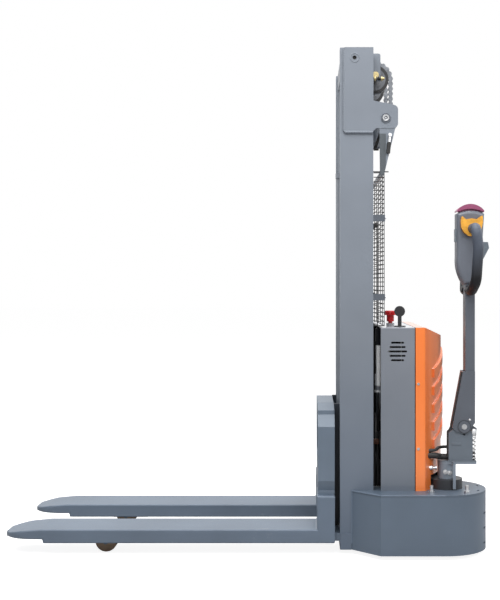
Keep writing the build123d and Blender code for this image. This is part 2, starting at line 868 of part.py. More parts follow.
with BuildPart() as caster_wheel:
    with BuildSketch(along_y(caster_wheel_x, caster_y, caster_wheel_radius, 1)):
        Circle(caster_wheel_radius)
        Circle(caster_axle_radius + running_fit, mode=Mode.SUBTRACT)
    extrude(amount=caster_wheel_width / 2, both=True)
    rims = caster_wheel.edges().filter_by(lambda edge: edge.geom_type == GeomType.CIRCLE)
    fillet(rims.filter_by(lambda edge: edge.radius > caster_wheel_radius - 1), radius=tyre_edge)
caster_wheel.part.label = "caster_wheel"
export_step(caster_wheel.part, "parts/caster_wheel.step")

# Housing shell: bent sheet sides with vent slots, joined by a low front panel
housing_front_x = 488
housing_length = 124
housing_half_width = 310
housing_top_z = 828
housing_sheet = 3
housing_flange = 30
housing_sill = 96
vent_x = 549
vent_drop = 52
vent_pitch = 16
vent_height = 7
vent_length = 70
vent_step = 11.25
vent_count = 5
housing_rear_x = housing_front_x + housing_length
vent_top_z = housing_top_z - vent_drop
with BuildPart() as housing_shell:
    with BuildSketch(Plane.XY.offset(chassis_top_z)):
        for side, sign in sides:
            with Locations((housing_front_x, sign * (housing_half_width - housing_sheet / 2))):
                Rectangle(housing_length, housing_sheet, align=(Align.MIN, Align.CENTER))
            for flange_x in (housing_front_x, housing_rear_x - housing_sheet):
                with Locations((flange_x, sign * (housing_half_width - housing_flange / 2))):
                    Rectangle(housing_sheet, housing_flange, align=(Align.MIN, Align.CENTER))
    extrude(amount=housing_top_z - chassis_top_z)
    with Locations((housing_front_x + housing_sheet / 2, 0, chassis_top_z)):
        Box(housing_sheet, 2 * housing_half_width, housing_sill, align=bottom_up)
    with BuildSketch(Plane.XZ):
        for row in range(vent_count):
            with Locations((vent_x, vent_top_z - row * vent_pitch)):
                SlotOverall(vent_length - vent_step * abs(row - vent_count // 2), vent_height)
    extrude(amount=housing_half_width, both=True, mode=Mode.SUBTRACT)
housing_shell.part.label = "housing_shell"
export_step(housing_shell.part, "parts/housing_shell.step")

# Emergency stop and key switch on the housing top
estop_x = 534
estop_y = -155
estop_stem_radius = 8
estop_base_radius = 15
estop_base_height = 11
estop_neck_radius = 14
estop_neck_height = 24
estop_cap_radius = 21.5
estop_cap_height = 17
estop_travel = 6
estop_stem_below = 40
key_x = 565
key_y = -210
key_post_radius = 5
key_post_below = 30
bezel_radius = 22
bezel_height = 3
key_bow_radius = 20
key_bow_thickness = 6
key_bow_rise = 57
key_blade_width = 14
panel_top_z = housing_top_z + housing_sheet
with BuildPart() as housing_top_panel:
    with BuildSketch(Plane.XY.offset(housing_top_z)):
        with Locations((housing_front_x, 0)):
            Rectangle(housing_length, 2 * housing_half_width, align=(Align.MIN, Align.CENTER))
        with Locations((estop_x, estop_y)):
            Circle(estop_stem_radius + running_fit, mode=Mode.SUBTRACT)
        with Locations((key_x, key_y)):
            Circle(key_post_radius + running_fit, mode=Mode.SUBTRACT)
    extrude(amount=housing_sheet)
housing_top_panel.part.label = "housing_top_panel"
export_step(housing_top_panel.part, "parts/housing_top_panel.step")

# Mesh guard behind the mast, one sheet with rows of square-cornered gaps
guard_front_x = 500
guard_thickness = 3
guard_half_width = 288
guard_foot_gap = 5
guard_head_gap = 160
guard_rows = 35
guard_columns = 8
guard_border = 10
guard_wire = 4
guard_bottom_z = panel_top_z + guard_foot_gap
guard_top_z = bulge_bottom_z - guard_head_gap
gap_width = (2 * (guard_half_width - guard_border) + guard_wire) / guard_columns - guard_wire
gap_height = (guard_top_z - guard_bottom_z - 2 * guard_border + guard_wire) / guard_rows - guard_wire
with BuildPart() as mesh_guard:
    with BuildSketch(Plane.YZ.offset(guard_front_x)):
        with Locations((0, (guard_bottom_z + guard_top_z) / 2)):
            Rectangle(2 * guard_half_width, guard_top_z - guard_bottom_z)
            with GridLocations(gap_width + guard_wire, gap_height + guard_wire, guard_columns, guard_rows):
                Rectangle(gap_width, gap_height, mode=Mode.SUBTRACT)
    extrude(amount=guard_thickness)
mesh_guard.part.label = "mesh_guard"
export_step(mesh_guard.part, "parts/mesh_guard.step")

# Guard brackets: tapered plate under the head frame with a top rail to a lug on the far channel,
# and four side bars
hanger_front_x = 483
hanger_rear_inset = 10
hanger_foot_rear_x = guard_front_x
hanger_thickness = 6
rail_height = 10
rail_depth = 15
guard_bar_height = 24
guard_bar_length = 43
guard_bar_shares = (0.188, 0.702)
rail_lug_width = 12
rail_bottom_z = guard_top_z - rail_height
with BuildPart() as guard_brackets:
    with BuildSketch(along_y(0, -mast_half_width, 0, -1)):
        with BuildLine():
            Polyline(
                (hanger_front_x, bulge_bottom_z),
                (bulge_rear_x - hanger_rear_inset, bulge_bottom_z),
                (hanger_foot_rear_x, rail_bottom_z),
                (hanger_foot_rear_x - rail_depth, rail_bottom_z),
                close=True,
            )
        make_face()
    extrude(amount=hanger_thickness)
    for side, sign in sides:
        for share in guard_bar_shares:
            bar_z = guard_bottom_z + share * (guard_top_z - guard_bottom_z)
            with Locations(
                (
                    mast_rear_x + guard_bar_length / 2,
                    sign * (guard_half_width + mast_half_width) / 2,
                    bar_z,
                )
            ):
                Box(guard_bar_length, mast_half_width - guard_half_width, guard_bar_height)
    with Locations((hanger_foot_rear_x - rail_depth / 2, 0, rail_bottom_z)):
        Box(rail_depth, 2 * mast_half_width, rail_height, align=bottom_up)
    with Locations((mast_rear_x, mast_half_width, rail_bottom_z)):
        Box(
            hanger_foot_rear_x - mast_rear_x,
            rail_lug_width,
            rail_height,
            align=(Align.MIN, Align.MAX, Align.MIN),
        )
guard_brackets.part.label = "guard_brackets"
export_step(guard_brackets.part, "parts/guard_brackets.step")

# Switch bases on the panel
with BuildPart() as switch_bases:
    with BuildSketch(Plane.XY.offset(panel_top_z)):
        with Locations((estop_x, estop_y)):
            Circle(estop_base_radius)
            Circle(estop_stem_radius + running_fit, mode=Mode.SUBTRACT)
    extrude(amount=estop_base_height)
    with BuildSketch(Plane.XY.offset(panel_top_z)):
        with Locations((key_x, key_y)):
            Circle(bezel_radius)
            Circle(key_post_radius + running_fit, mode=Mode.SUBTRACT)
    extrude(amount=bezel_height)
switch_bases.part.label = "switch_bases"
export_step(switch_bases.part, "parts/switch_bases.step")

# Mushroom button: stem through the panel, neck and cap, standing off by its travel
estop_neck_z = panel_top_z + estop_base_height + estop_travel + 2 * seat_gap
with BuildPart() as estop_button:
    with Locations((estop_x, estop_y, housing_top_z - estop_stem_below)):
        Cylinder(
            estop_stem_radius,
            estop_neck_z - housing_top_z + estop_stem_below,
            align=bottom_up,
        )
    with Locations((estop_x, estop_y, estop_neck_z)):
        Cylinder(estop_neck_radius, estop_neck_height, align=bottom_up)
    with Locations((estop_x, estop_y, estop_neck_z + estop_neck_height)):
        Cylinder(estop_cap_radius, estop_cap_height, align=bottom_up)
    fillet(
        estop_button.faces().sort_by(Axis.Z)[-1].edges(),
        radius=estop_cap_height / 3,
    )
estop_button.part.label = "estop_button"
export_step(estop_button.part, "parts/estop_button.step")

# Key: post in the switch barrel, blade cover and round bow
key_bow_z = panel_top_z + key_bow_rise
with BuildPart() as switch_key:
    with Locations((key_x, key_y, housing_top_z - key_post_below)):
        Cylinder(
            key_post_radius,
            key_post_below + housing_sheet + bezel_height + seat_gap,
            align=bottom_up,
        )
    with BuildSketch(along_y(key_x, key_y, key_bow_z, -1)):
        Circle(key_bow_radius)
        Rectangle(
            key_blade_width,
            key_bow_rise - bezel_height - seat_gap,
            align=(Align.CENTER, Align.MAX),
        )
    extrude(amount=key_bow_thickness / 2, both=True)
switch_key.part.label = "switch_key"
export_step(switch_key.part, "parts/switch_key.step")

# Bowed rear cover with a sloping top
cover_gap = 3
cover_flat = 35
cover_reach = 125
cover_sheet = 3
cover_apex_drop = 41
cover_notch_radius = 68
cover_notch_top_z = 285
ridge_count = 5
ridge_top_drop = 62
ridge_pitch = 65.8
ridge_slope = 0.274
ridge_height = 32
ridge_half_width = 250
ridge_rise = 7
cover_front_x = housing_rear_x + cover_gap
cover_apex_z = panel_top_z - cover_apex_drop
ridge_top_z = cover_apex_z - ridge_top_drop
cover_bend_x = cover_front_x + cover_flat
cover_apex_x = cover_front_x + cover_reach
cover_sagitta = cover_apex_x - cover_bend_x
cover_radius = (housing_half_width**2 + cover_sagitta**2) / (2 * cover_sagitta)
cover_centre_x = cover_apex_x - cover_radius

# Cover screws
screw_head_radius = 5
screw_head_height = 2.5
screw_shank_radius = 3
screw_shank_length = 10
screw_inset_x = 10
screw_foot_rise = 154
screw_pitch = 237
screw_levels = (chassis_top_z + screw_foot_rise, chassis_top_z + screw_foot_rise + screw_pitch)

# Control cables between the cover and the tiller: radius, wall hole, yoke end height and side
cable_wall_inset = 30
cable_inside = 18
cable_outside = 28
cable_bend_x = 705
cable_bend_radius = 20
yoke_front_x = 741
main_cable_radius = 9
main_cable_wall_z = 360
main_cable_end_z = 350
main_cable_offset = 11
thin_cable_radius = 4.5
thin_cable_wall_z = 377
thin_cable_end_z = 384
thin_cable_offset = 7
cable_runs = (
    (main_cable_radius, main_cable_wall_z, main_cable_end_z, steer_y - main_cable_offset),
    (thin_cable_radius, thin_cable_wall_z, thin_cable_end_z, steer_y + thin_cable_offset),
)
cable_wall_y = cable_wall_inset - housing_half_width
cable_wall_x = cover_centre_x + math.sqrt(cover_radius**2 - cable_wall_y**2)

# Raised chevron bands on the bow, one sheet rise proud of it
with BuildPart() as ridge_bands:
    with BuildSketch(Plane.XY.offset(chassis_top_z)):
        with Locations((cover_centre_x, 0)):
            Circle(cover_radius + ridge_rise)
            Circle(cover_radius - cover_sheet / 2, mode=Mode.SUBTRACT)
    extrude(amount=panel_top_z - chassis_top_z)
    with BuildSketch(Plane.YZ.offset(cover_bend_x)):
        for row in range(ridge_count):
            tip_z = ridge_top_z - row * ridge_pitch
            end_z = tip_z - ridge_slope * ridge_half_width
            with BuildLine():
                Polyline(
                    (0, tip_z + ridge_height / 2),
                    (ridge_half_width, end_z + ridge_height / 2),
                    (ridge_half_width, end_z - ridge_height / 2),
                    (0, tip_z - ridge_height / 2),
                    (-ridge_half_width, end_z - ridge_height / 2),
                    (-ridge_half_width, end_z + ridge_height / 2),
                    close=True,
                )
            make_face()
    extrude(amount=2 * cover_sagitta, mode=Mode.INTERSECT)

with BuildPart() as rear_cover:
    with BuildSketch(Plane.XZ):
        with BuildLine():
            Polyline(
                (cover_front_x, chassis_top_z),
                (cover_apex_x, chassis_top_z),
                (cover_apex_x, cover_apex_z),
                (cover_bend_x, panel_top_z),
                (cover_front_x, panel_top_z),
                close=True,
            )
        make_face()
    extrude(amount=housing_half_width, both=True)
    with BuildSketch(Plane.XY.offset(chassis_top_z)):
        with BuildLine():
            Polyline(
                (cover_bend_x, housing_half_width),
                (cover_front_x, housing_half_width),
                (cover_front_x, -housing_half_width),
                (cover_bend_x, -housing_half_width),
            )
            ThreePointArc(
                (cover_bend_x, -housing_half_width),
                (cover_apex_x, 0),
                (cover_bend_x, housing_half_width),
            )
        make_face()
    extrude(amount=panel_top_z - chassis_top_z, mode=Mode.INTERSECT)
    open_faces = [
        rear_cover.faces().sort_by(Axis.X)[0],
        rear_cover.faces().sort_by(Axis.Z)[0],
    ]
    offset(amount=-cover_sheet, openings=open_faces)
    add(ridge_bands.part)
    with Locations((steer_x, steer_y, chassis_top_z)):
        Cylinder(
            cover_notch_radius,
            cover_notch_top_z - chassis_top_z,
            align=bottom_up,
            mode=Mode.SUBTRACT,
        )
    for cable_radius, wall_z, end_z, end_y in cable_runs:
        with BuildSketch(Plane.YZ.offset(cover_bend_x)):
            with Locations((cable_wall_y, wall_z)):
                Circle(cable_radius + free_gap)
        extrude(amount=cover_sagitta, mode=Mode.SUBTRACT)
    with BuildSketch(Plane.XZ):
        for screw_z in screw_levels:
            with Locations((cover_front_x + screw_inset_x, screw_z)):
                Circle(screw_shank_radius + running_fit)
    extrude(amount=housing_half_width, both=True, mode=Mode.SUBTRACT)
rear_cover.part.label = "rear_cover"
export_step(rear_cover.part, "parts/rear_cover.step")

# Screws that hold the cover at its side edges
with BuildPart() as cover_screws:
    for side, sign in sides:
        for screw_z in screw_levels:
            screw_plane = along_y(cover_front_x + screw_inset_x, sign * housing_half_width, screw_z, sign)
            with BuildSketch(screw_plane):
                Circle(screw_head_radius)
            extrude(amount=screw_head_height)
            with BuildSketch(screw_plane):
                Circle(screw_shank_radius)
            extrude(amount=-screw_shank_length)
cover_screws.part.label = "cover_screws"
export_step(cover_screws.part, "parts/cover_screws.step")

# Power pack inside the housing: batteries, oil tank with valve block, pump motor, controller
battery_front_x = 500
battery_length = 165
battery_width = 120
battery_height = 222
battery_start_y = 0
battery_gap = 6
with BuildPart() as batteries:
    for place in (0, 1):
        with Locations(
            (
                battery_front_x + battery_length / 2,
                battery_start_y + battery_width / 2 + place * (battery_width + battery_gap),
                chassis_top_z,
            )
        ):
            Box(battery_length, battery_width, battery_height, align=bottom_up)
batteries.part.label = "batteries"
export_step(batteries.part, "parts/batteries.step")

tank_front_x = 492
tank_length = 108
tank_width = 130
tank_near_y = -150
tank_height = 236
block_front_x = 478
block_length = 42
block_width = 55
block_bottom_z = 380
block_height = 56
tank_top_z = chassis_top_z + tank_height
with BuildPart() as oil_tank:
    with Locations((tank_front_x, tank_near_y, chassis_top_z)):
        Box(tank_length, tank_width, tank_height, align=(Align.MIN, Align.MIN, Align.MIN))
    with Locations((block_front_x, tank_near_y, block_bottom_z)):
        Box(block_length, block_width, block_height, align=(Align.MIN, Align.MAX, Align.MIN))
oil_tank.part.label = "oil_tank"
export_step(oil_tank.part, "parts/oil_tank.step")

motor_x = 528
motor_y = -85
pump_radius = 44
pump_height = 102
motor_radius = 48
motor_ring_radius = 50
motor_ring_height = 8
motor_top_gap = 8
motor_cap_radius = 46
motor_cap_height = 62
motor_top_z = housing_top_z - motor_top_gap
motor_foot_z = tank_top_z + pump_height
with BuildPart() as pump_motor:
    with Locations((motor_x, motor_y, tank_top_z)):
        Cylinder(pump_radius, pump_height, align=bottom_up)
    with Locations((motor_x, motor_y, motor_foot_z)):
        Cylinder(motor_ring_radius, motor_ring_height, align=bottom_up)
        Cylinder(motor_radius, motor_top_z - motor_cap_height - motor_foot_z, align=bottom_up)
        Cylinder(motor_cap_radius, motor_top_z - motor_foot_z, align=bottom_up)
pump_motor.part.label = "pump_motor"
export_step(pump_motor.part, "parts/pump_motor.step")

controller_length = 110
controller_width = 140
controller_height = 60
with BuildPart() as motor_controller:
    with Locations(
        (
            battery_front_x + battery_length / 2,
            battery_start_y + battery_width + battery_gap / 2,
            chassis_top_z + battery_height,
        )
    ):
        Box(controller_length, controller_width, controller_height, align=bottom_up)
motor_controller.part.label = "motor_controller"
export_step(motor_controller.part, "parts/motor_controller.step")

# Hose from the valve block up and across to the pump, with a fitting at its foot
hose_radius = 5.5
hose_bend = 25
hose_inset = 8
hose_y = -185
hose_top_z = 556
fitting_radius = 9
fitting_height = 14
hose_x = block_front_x + hose_inset
block_top_z = block_bottom_z + block_height
pump_reach = math.hypot(motor_x - hose_x, motor_y - hose_y)
hose_end_x = motor_x - (motor_x - hose_x) * pump_radius / pump_reach
hose_end_y = motor_y - (motor_y - hose_y) * pump_radius / pump_reach
with BuildPart() as hydraulic_hose:
    with BuildLine() as hose_path:
        FilletPolyline(
            (hose_x, hose_y, block_top_z),
            (hose_x, hose_y, hose_top_z),
            (hose_end_x, hose_end_y, hose_top_z),
            radius=hose_bend,
        )
    with BuildSketch(Plane(hose_path.line @ 0, z_dir=hose_path.line % 0)):
        Circle(hose_radius)
    sweep()
    hose_section = math.pi * hose_radius**2
    print("hose length", round(hose_path.wire().length, 2), "bend radius", hose_bend)
    hose_ratio = hydraulic_hose.part.volume / hose_section / hose_path.wire().length
    print("hose volume over section x length", hose_ratio)
    with Locations((hose_x, hose_y, block_top_z)):
        Cylinder(fitting_radius, fitting_height, align=bottom_up)
hydraulic_hose.part.label = "hydraulic_hose"
export_step(hydraulic_hose.part, "parts/hydraulic_hose.step")

# Control cables along straight runs and tangent bends
with BuildPart() as control_cables:
    for cable_radius, wall_z, end_z, end_y in cable_runs:
        with BuildLine() as cable_path:
            FilletPolyline(
                (cable_wall_x - cable_inside, cable_wall_y, wall_z),
                (cable_wall_x + cable_outside, cable_wall_y, wall_z),
                (cable_bend_x, end_y, end_z),
                (yoke_front_x - seat_gap, end_y, end_z),
                radius=cable_bend_radius,
            )
        with BuildSketch(Plane(cable_path.line @ 0, z_dir=cable_path.line % 0)):
            Circle(cable_radius)
        sweep()
        print("cable length", round(cable_path.wire().length, 2), "bend radius", cable_bend_radius)
control_cables.part.label = "control_cables"
export_step(control_cables.part, "parts/control_cables.step")

# Tiller base: column on the steering head, base plate, yoke and a side strip
column_radius = 31
column_height = 55
plate_thickness = 12
plate_end_radius = 32
plate_rear_x = 844
yoke_rear_x = 830
yoke_inner_half = 24
yoke_cheek = 6
yoke_front_height = 93
yoke_rear_height = 95
yoke_shoulder = 30
yoke_shoulder_rise = 24
pivot_x = 798
pivot_z = 464
pivot_radius = 8
pivot_boss_radius = 24
yoke_hole_radius = 4.5
yoke_hole_drop = 29
strip_x = 752
strip_width = 10
strip_outer = 72
strip_thickness = 8
strip_foot_gap = 6
plate_bottom_z = head_top_z + column_height
plate_top_z = plate_bottom_z + plate_thickness
yoke_outer_half = yoke_inner_half + yoke_cheek
with BuildPart() as tiller_base:
    with Locations((steer_x, steer_y, head_top_z)):
        Cylinder(column_radius, column_height, align=bottom_up)
    with BuildSketch(Plane.XY.offset(plate_bottom_z)):
        with Locations((steer_x, steer_y)):
            Circle(plate_end_radius)
            Rectangle(
                plate_rear_x - steer_x,
                2 * plate_end_radius,
                align=(Align.MIN, Align.CENTER),
            )
        with Locations((strip_x, steer_y)):
            Rectangle(strip_width, strip_outer, align=(Align.MIN, Align.MAX))
    extrude(amount=plate_thickness)
    for cheek in (-1, 1):
        with BuildSketch(along_y(0, steer_y + cheek * yoke_inner_half, 0, cheek)):
            with BuildLine():
                Polyline(
                    (yoke_front_x, -cheek * plate_top_z),
                    (yoke_rear_x, -cheek * plate_top_z),
                    (yoke_rear_x, -cheek * (plate_top_z + yoke_rear_height)),
                    (yoke_rear_x - yoke_shoulder / 2, -cheek * pivot_z),
                    (yoke_front_x + yoke_shoulder, -cheek * pivot_z),
                    (yoke_front_x, -cheek * (pivot_z - yoke_shoulder_rise)),
                    close=True,
                )
            make_face()
            with Locations((pivot_x, -cheek * pivot_z)):
                Circle(pivot_boss_radius)
                Circle(pivot_radius + running_fit, mode=Mode.SUBTRACT)
            with Locations((pivot_x, -cheek * (pivot_z - yoke_hole_drop))):
                Circle(yoke_hole_radius, mode=Mode.SUBTRACT)
        extrude(amount=yoke_cheek)
    with Locations((yoke_front_x, steer_y, plate_top_z)):
        Box(
            yoke_cheek,
            2 * yoke_inner_half,
            yoke_front_height,
            align=(Align.MIN, Align.CENTER, Align.MIN),
        )
    with Locations((strip_x, steer_y - strip_outer, chassis_top_z + strip_foot_gap)):
        Box(
            strip_width,
            strip_thickness,
            plate_top_z - chassis_top_z - strip_foot_gap,
            align=(Align.MIN, Align.MIN, Align.MIN),
        )
tiller_base.part.label = "tiller_base"
export_step(tiller_base.part, "parts/tiller_base.step")

# Return spring standing on the base plate: one wire on arcs of a quarter turn
spring_x = 834
spring_radius = 12
spring_wire_radius = 2.5
spring_pitch = 13.4
spring_turns = 6
spring_steps_per_turn = 4
spring_tail = 2 * spring_wire_radius
spring_climb = spring_pitch / math.hypot(spring_pitch, 2 * math.pi * spring_radius)
spring_foot_z = plate_top_z + spring_wire_radius + seat_gap + spring_tail * spring_climb
spring_steps = spring_turns * spring_steps_per_turn


def spring_point(step):
    """Point and unit tangent of the helix after a number of quarter turns."""
    angle = 2 * math.pi * step / spring_steps_per_turn
    rise = spring_pitch / spring_steps_per_turn
    run = 2 * math.pi * spring_radius / spring_steps_per_turn
    point = Vector(
        spring_x + spring_radius * math.cos(angle),
        steer_y + spring_radius * math.sin(angle),
        spring_foot_z + rise * step,
    )
    tangent = Vector(-run * math.sin(angle), run * math.cos(angle), rise).normalized()
    return point, tangent


first_point, first_tangent = spring_point(0)
last_point, last_tangent = spring_point(spring_steps)
with BuildPart() as tiller_spring:
    with BuildLine() as spring_path:
        Line(first_point - first_tangent * spring_tail, first_point)
        for step in range(spring_steps):
            start, start_tangent = spring_point(step)
            end, end_tangent = spring_point(step + 1)
            chord = end - start
            both = start_tangent + end_tangent
            turn = 2 * (1 - start_tangent.dot(end_tangent))
            reach = (math.sqrt(chord.dot(both) ** 2 + turn * chord.dot(chord)) - chord.dot(both)) / turn
            corner_in = start + start_tangent * reach
            corner_out = end - end_tangent * reach
            middle = (corner_in + corner_out) / 2
            TangentArc(start, middle, tangent=start_tangent)
            TangentArc(middle, end, tangent=(corner_out - corner_in).normalized())
        Line(last_point, last_point + last_tangent * spring_tail)
    with BuildSketch(Plane(spring_path.line @ 0, z_dir=spring_path.line % 0)):
        Circle(spring_wire_radius)
    sweep()
    wire_length = spring_path.wire().length
    sample_count = 40 * spring_turns
    samples = [spring_path.wire() @ (i / sample_count) for i in range(sample_count + 1)]
    far_along = 4 * spring_wire_radius * sample_count / wire_length
    least_gap = min(
        (samples[i] - samples[j]).length - 2 * spring_wire_radius
        for i in range(len(samples))
        for j in range(i)
        if i - j > far_along
    )
    print("spring wire length", round(wire_length, 2), "least gap to itself", round(least_gap, 3))
    assert least_gap > 0.4
    wire_section = math.pi * spring_wire_radius**2
    print("spring volume over section x length", tiller_spring.part.volume / wire_section / wire_length)
tiller_spring.part.label = "tiller_spring"
export_step(tiller_spring.part, "parts/tiller_spring.step")
spring_top_z = spring_foot_z + spring_pitch * spring_turns + spring_tail * spring_climb + spring_wire_radius
print("spring top", spring_top_z)

# Tiller arm: gusset plates outside the yoke, front web, hollow shaft and spring lug
gusset_gap = 1.5
gusset_thickness = 5
gusset_front_reach = 44
gusset_front_drop = 4
gusset_foot_reach = 27
gusset_foot_drop = 20
gusset_foot_radius = 26
gusset_heel_rise = 14
gusset_heel_reach = 14
gusset_boss_radius = 22
gusset_boss_height = 2
gusset_top_z = 668
gusset_top_inset = 10
gusset_web = 5
shaft_front_x = 803
shaft_depth = 35
shaft_wall = 3
shaft_bottom_z = 560
shaft_top_z = 1015
lug_half_width = 5
lug_front_x = 818
lug_inset = 3
lug_rear_reach = 3
lug_toe_drop = 10
lug_height = 30
gusset_inner_half = yoke_outer_half + gusset_gap
gusset_outer_half = gusset_inner_half + gusset_thickness
shaft_rear_x = shaft_front_x + shaft_depth
gusset_front_x = pivot_x - gusset_front_reach
gusset_front_z = pivot_z - gusset_front_drop
gusset_top_x = shaft_front_x - gusset_top_inset
lug_bottom_z = spring_top_z + seat_gap
with BuildPart() as tiller_arm:
    for cheek in (-1, 1):
        with BuildSketch(along_y(0, steer_y + cheek * gusset_inner_half, 0, cheek)):
            with BuildLine():
                Polyline(
                    (gusset_front_x, -cheek * gusset_front_z),
                    (gusset_top_x, -cheek * gusset_top_z),
                    (shaft_rear_x, -cheek * gusset_top_z),
                    (shaft_rear_x, -cheek * (pivot_z + gusset_heel_rise)),
                    (pivot_x + gusset_heel_reach, -cheek * (pivot_z - gusset_foot_drop)),
                    (pivot_x - gusset_foot_reach, -cheek * (pivot_z - gusset_foot_drop)),
                    close=True,
                )
            make_face()
            with Locations((pivot_x, -cheek * pivot_z)):
                Circle(gusset_foot_radius)
                Circle(pivot_radius + running_fit / 2, mode=Mode.SUBTRACT)
        extrude(amount=gusset_thickness)
        with BuildSketch(along_y(pivot_x, steer_y + cheek * gusset_outer_half, pivot_z, cheek)):
            Circle(gusset_boss_radius)
            Circle(pivot_radius + running_fit / 2, mode=Mode.SUBTRACT)
        extrude(amount=gusset_boss_height)
    with BuildSketch(Plane.XZ.offset(-steer_y)):
        with BuildLine():
            Polyline(
                (gusset_front_x, gusset_front_z),
                (gusset_top_x, gusset_top_z),
                (gusset_top_x + gusset_web, gusset_top_z),
                (gusset_front_x + gusset_web, gusset_front_z),
                close=True,
            )
        make_face()
    extrude(amount=gusset_inner_half, both=True)
    with Locations(((shaft_front_x + shaft_rear_x) / 2, steer_y, shaft_bottom_z)):
        Box(shaft_depth, 2 * gusset_inner_half, shaft_top_z - shaft_bottom_z, align=bottom_up)
        Box(
            shaft_depth - 2 * shaft_wall,
            2 * (gusset_inner_half - shaft_wall),
            shaft_top_z - shaft_bottom_z,
            align=bottom_up,
            mode=Mode.SUBTRACT,
        )
    with BuildSketch(Plane.XZ.offset(-steer_y)):
        with BuildLine():
            Polyline(
                (shaft_rear_x - shaft_wall, shaft_bottom_z + lug_height),
                (shaft_rear_x, shaft_bottom_z + lug_height),
                (shaft_rear_x - lug_inset, pivot_z),
                (spring_x + spring_radius + lug_rear_reach, pivot_z - lug_toe_drop),
                (spring_x + spring_radius, lug_bottom_z),
                (spring_x - spring_radius, lug_bottom_z),
                (lug_front_x, pivot_z + lug_height),
                (shaft_rear_x - shaft_wall, shaft_bottom_z),
                close=True,
            )
        make_face()
    extrude(amount=lug_half_width, both=True)
tiller_arm.part.label = "tiller_arm"
export_step(tiller_arm.part, "parts/tiller_arm.step")

# Pivot pin with a head at each end
pin_head_radius = 10
pin_head_height = 2
pin_half_length = gusset_outer_half + gusset_boss_height
with BuildPart() as pivot_pin:
    with BuildSketch(along_y(pivot_x, steer_y, pivot_z, 1)):
        Circle(pivot_radius)
    extrude(amount=pin_half_length, both=True)
    for cheek in (-1, 1):
        with BuildSketch(along_y(pivot_x, steer_y + cheek * pin_half_length, pivot_z, cheek)):
            Circle(pin_head_radius)
        extrude(amount=pin_head_height)
pivot_pin.part.label = "pivot_pin"
export_step(pivot_pin.part, "parts/pivot_pin.step")

# Tiller head on the shaft, with seats for the buttons and the rocker
handle_half_width = 40
handle_bottom_z = 988
handle_crown_z = 1262
handle_shoulder_z = 1250
handle_front_x = 771
handle_rear_x = 873
handle_chin_front_x = 798
handle_chin_rear_x = 842
handle_cheek_z = 1090
handle_jaw_z = 1026
handle_jaw_front_x = 779
handle_jaw_rear_x = 857
handle_waist_x = 863
handle_edge = 14
belly_x = 822
belly_stem_radius = 8
belly_stem_depth = 24
belly_travel = 4
belly_half_width = 34
belly_half_length = 50
belly_thickness = 18
belly_gap = 6
belly_end_rise = 6
belly_plunger_half_length = 40
belly_plunger_half_width = 24
belly_plunger_lap = 1
belly_pocket_drop = 4
belly_pocket_gap = 1.5
belly_pocket_z = handle_shoulder_z - belly_pocket_drop
belly_plunger_z = belly_pocket_z + belly_travel + seat_gap
horn_bottom_z = 1147
horn_height = 48
horn_half_width = 20
horn_proud = 3.5
horn_thickness = 9
horn_travel = 3
rocker_x = 856
rocker_pin_radius = 3
rocker_pin_half_length = 21
rocker_z = 1115
rocker_half_width = 16
rocker_half_height = 31
rocker_tip_x = 893
rocker_crest_x = 889
rocker_tip_rise = 9
rocker_inner_x = 851
rocker_outer_x = 872
rocker_room = 4
rocker_depth = 8
with BuildPart() as tiller_head:
    with BuildSketch(Plane.XZ.offset(-steer_y)):
        with BuildLine():
            ThreePointArc(
                (handle_chin_front_x, handle_bottom_z),
                (handle_jaw_front_x, handle_jaw_z),
                (handle_front_x, handle_cheek_z),
            )
            Line((handle_front_x, handle_cheek_z), (handle_front_x, handle_shoulder_z))
            ThreePointArc(
                (handle_front_x, handle_shoulder_z),
                ((handle_front_x + handle_rear_x) / 2, handle_crown_z),
                (handle_rear_x, handle_shoulder_z),
            )
            Line((handle_rear_x, handle_shoulder_z), (handle_waist_x, handle_cheek_z))
            ThreePointArc(
                (handle_waist_x, handle_cheek_z),
                (handle_jaw_rear_x, handle_jaw_z),
                (handle_chin_rear_x, handle_bottom_z),
            )
            Line((handle_chin_rear_x, handle_bottom_z), (handle_chin_front_x, handle_bottom_z))
        make_face()
    extrude(amount=handle_half_width, both=True)
    fillet(tiller_head.faces().filter_by(Axis.Y).edges(), radius=handle_edge)
    with Locations(((shaft_front_x + shaft_rear_x) / 2, steer_y, handle_bottom_z)):
        Box(
            shaft_depth,
            2 * gusset_inner_half,
            shaft_top_z - handle_bottom_z,
            align=bottom_up,
            mode=Mode.SUBTRACT,
        )
    with Locations((belly_x, steer_y, belly_pocket_z)):
        Box(
            2 * (belly_plunger_half_length + belly_pocket_gap),
            2 * (belly_plunger_half_width + belly_pocket_gap),
            handle_crown_z - belly_pocket_z,
            align=bottom_up,
            mode=Mode.SUBTRACT,
        )
    with Locations((belly_x, steer_y, handle_crown_z - belly_stem_depth - belly_travel)):
        Cylinder(
            belly_stem_radius + running_fit,
            belly_stem_depth + 2 * belly_travel,
            align=bottom_up,
            mode=Mode.SUBTRACT,
        )
    with Locations((handle_front_x, steer_y, horn_bottom_z + horn_height / 2)):
        Box(
            horn_thickness + horn_travel,
            2 * (horn_half_width + seat_gap),
            horn_height + 2 * seat_gap,
            align=(Align.MIN, Align.CENTER, Align.CENTER),
            mode=Mode.SUBTRACT,
        )
    with Locations((rocker_inner_x - rocker_depth, steer_y, rocker_z)):
        Box(
            handle_rear_x - rocker_inner_x + rocker_depth,
            2 * (rocker_half_width + seat_gap),
            2 * (rocker_half_height + rocker_room),
            align=(Align.MIN, Align.CENTER, Align.CENTER),
            mode=Mode.SUBTRACT,
        )
    with BuildSketch(along_y(rocker_x, steer_y, rocker_z, 1)):
        Circle(rocker_pin_radius + running_fit)
    extrude(amount=rocker_pin_half_length + seat_gap, both=True, mode=Mode.SUBTRACT)
tiller_head.part.label = "tiller_head"
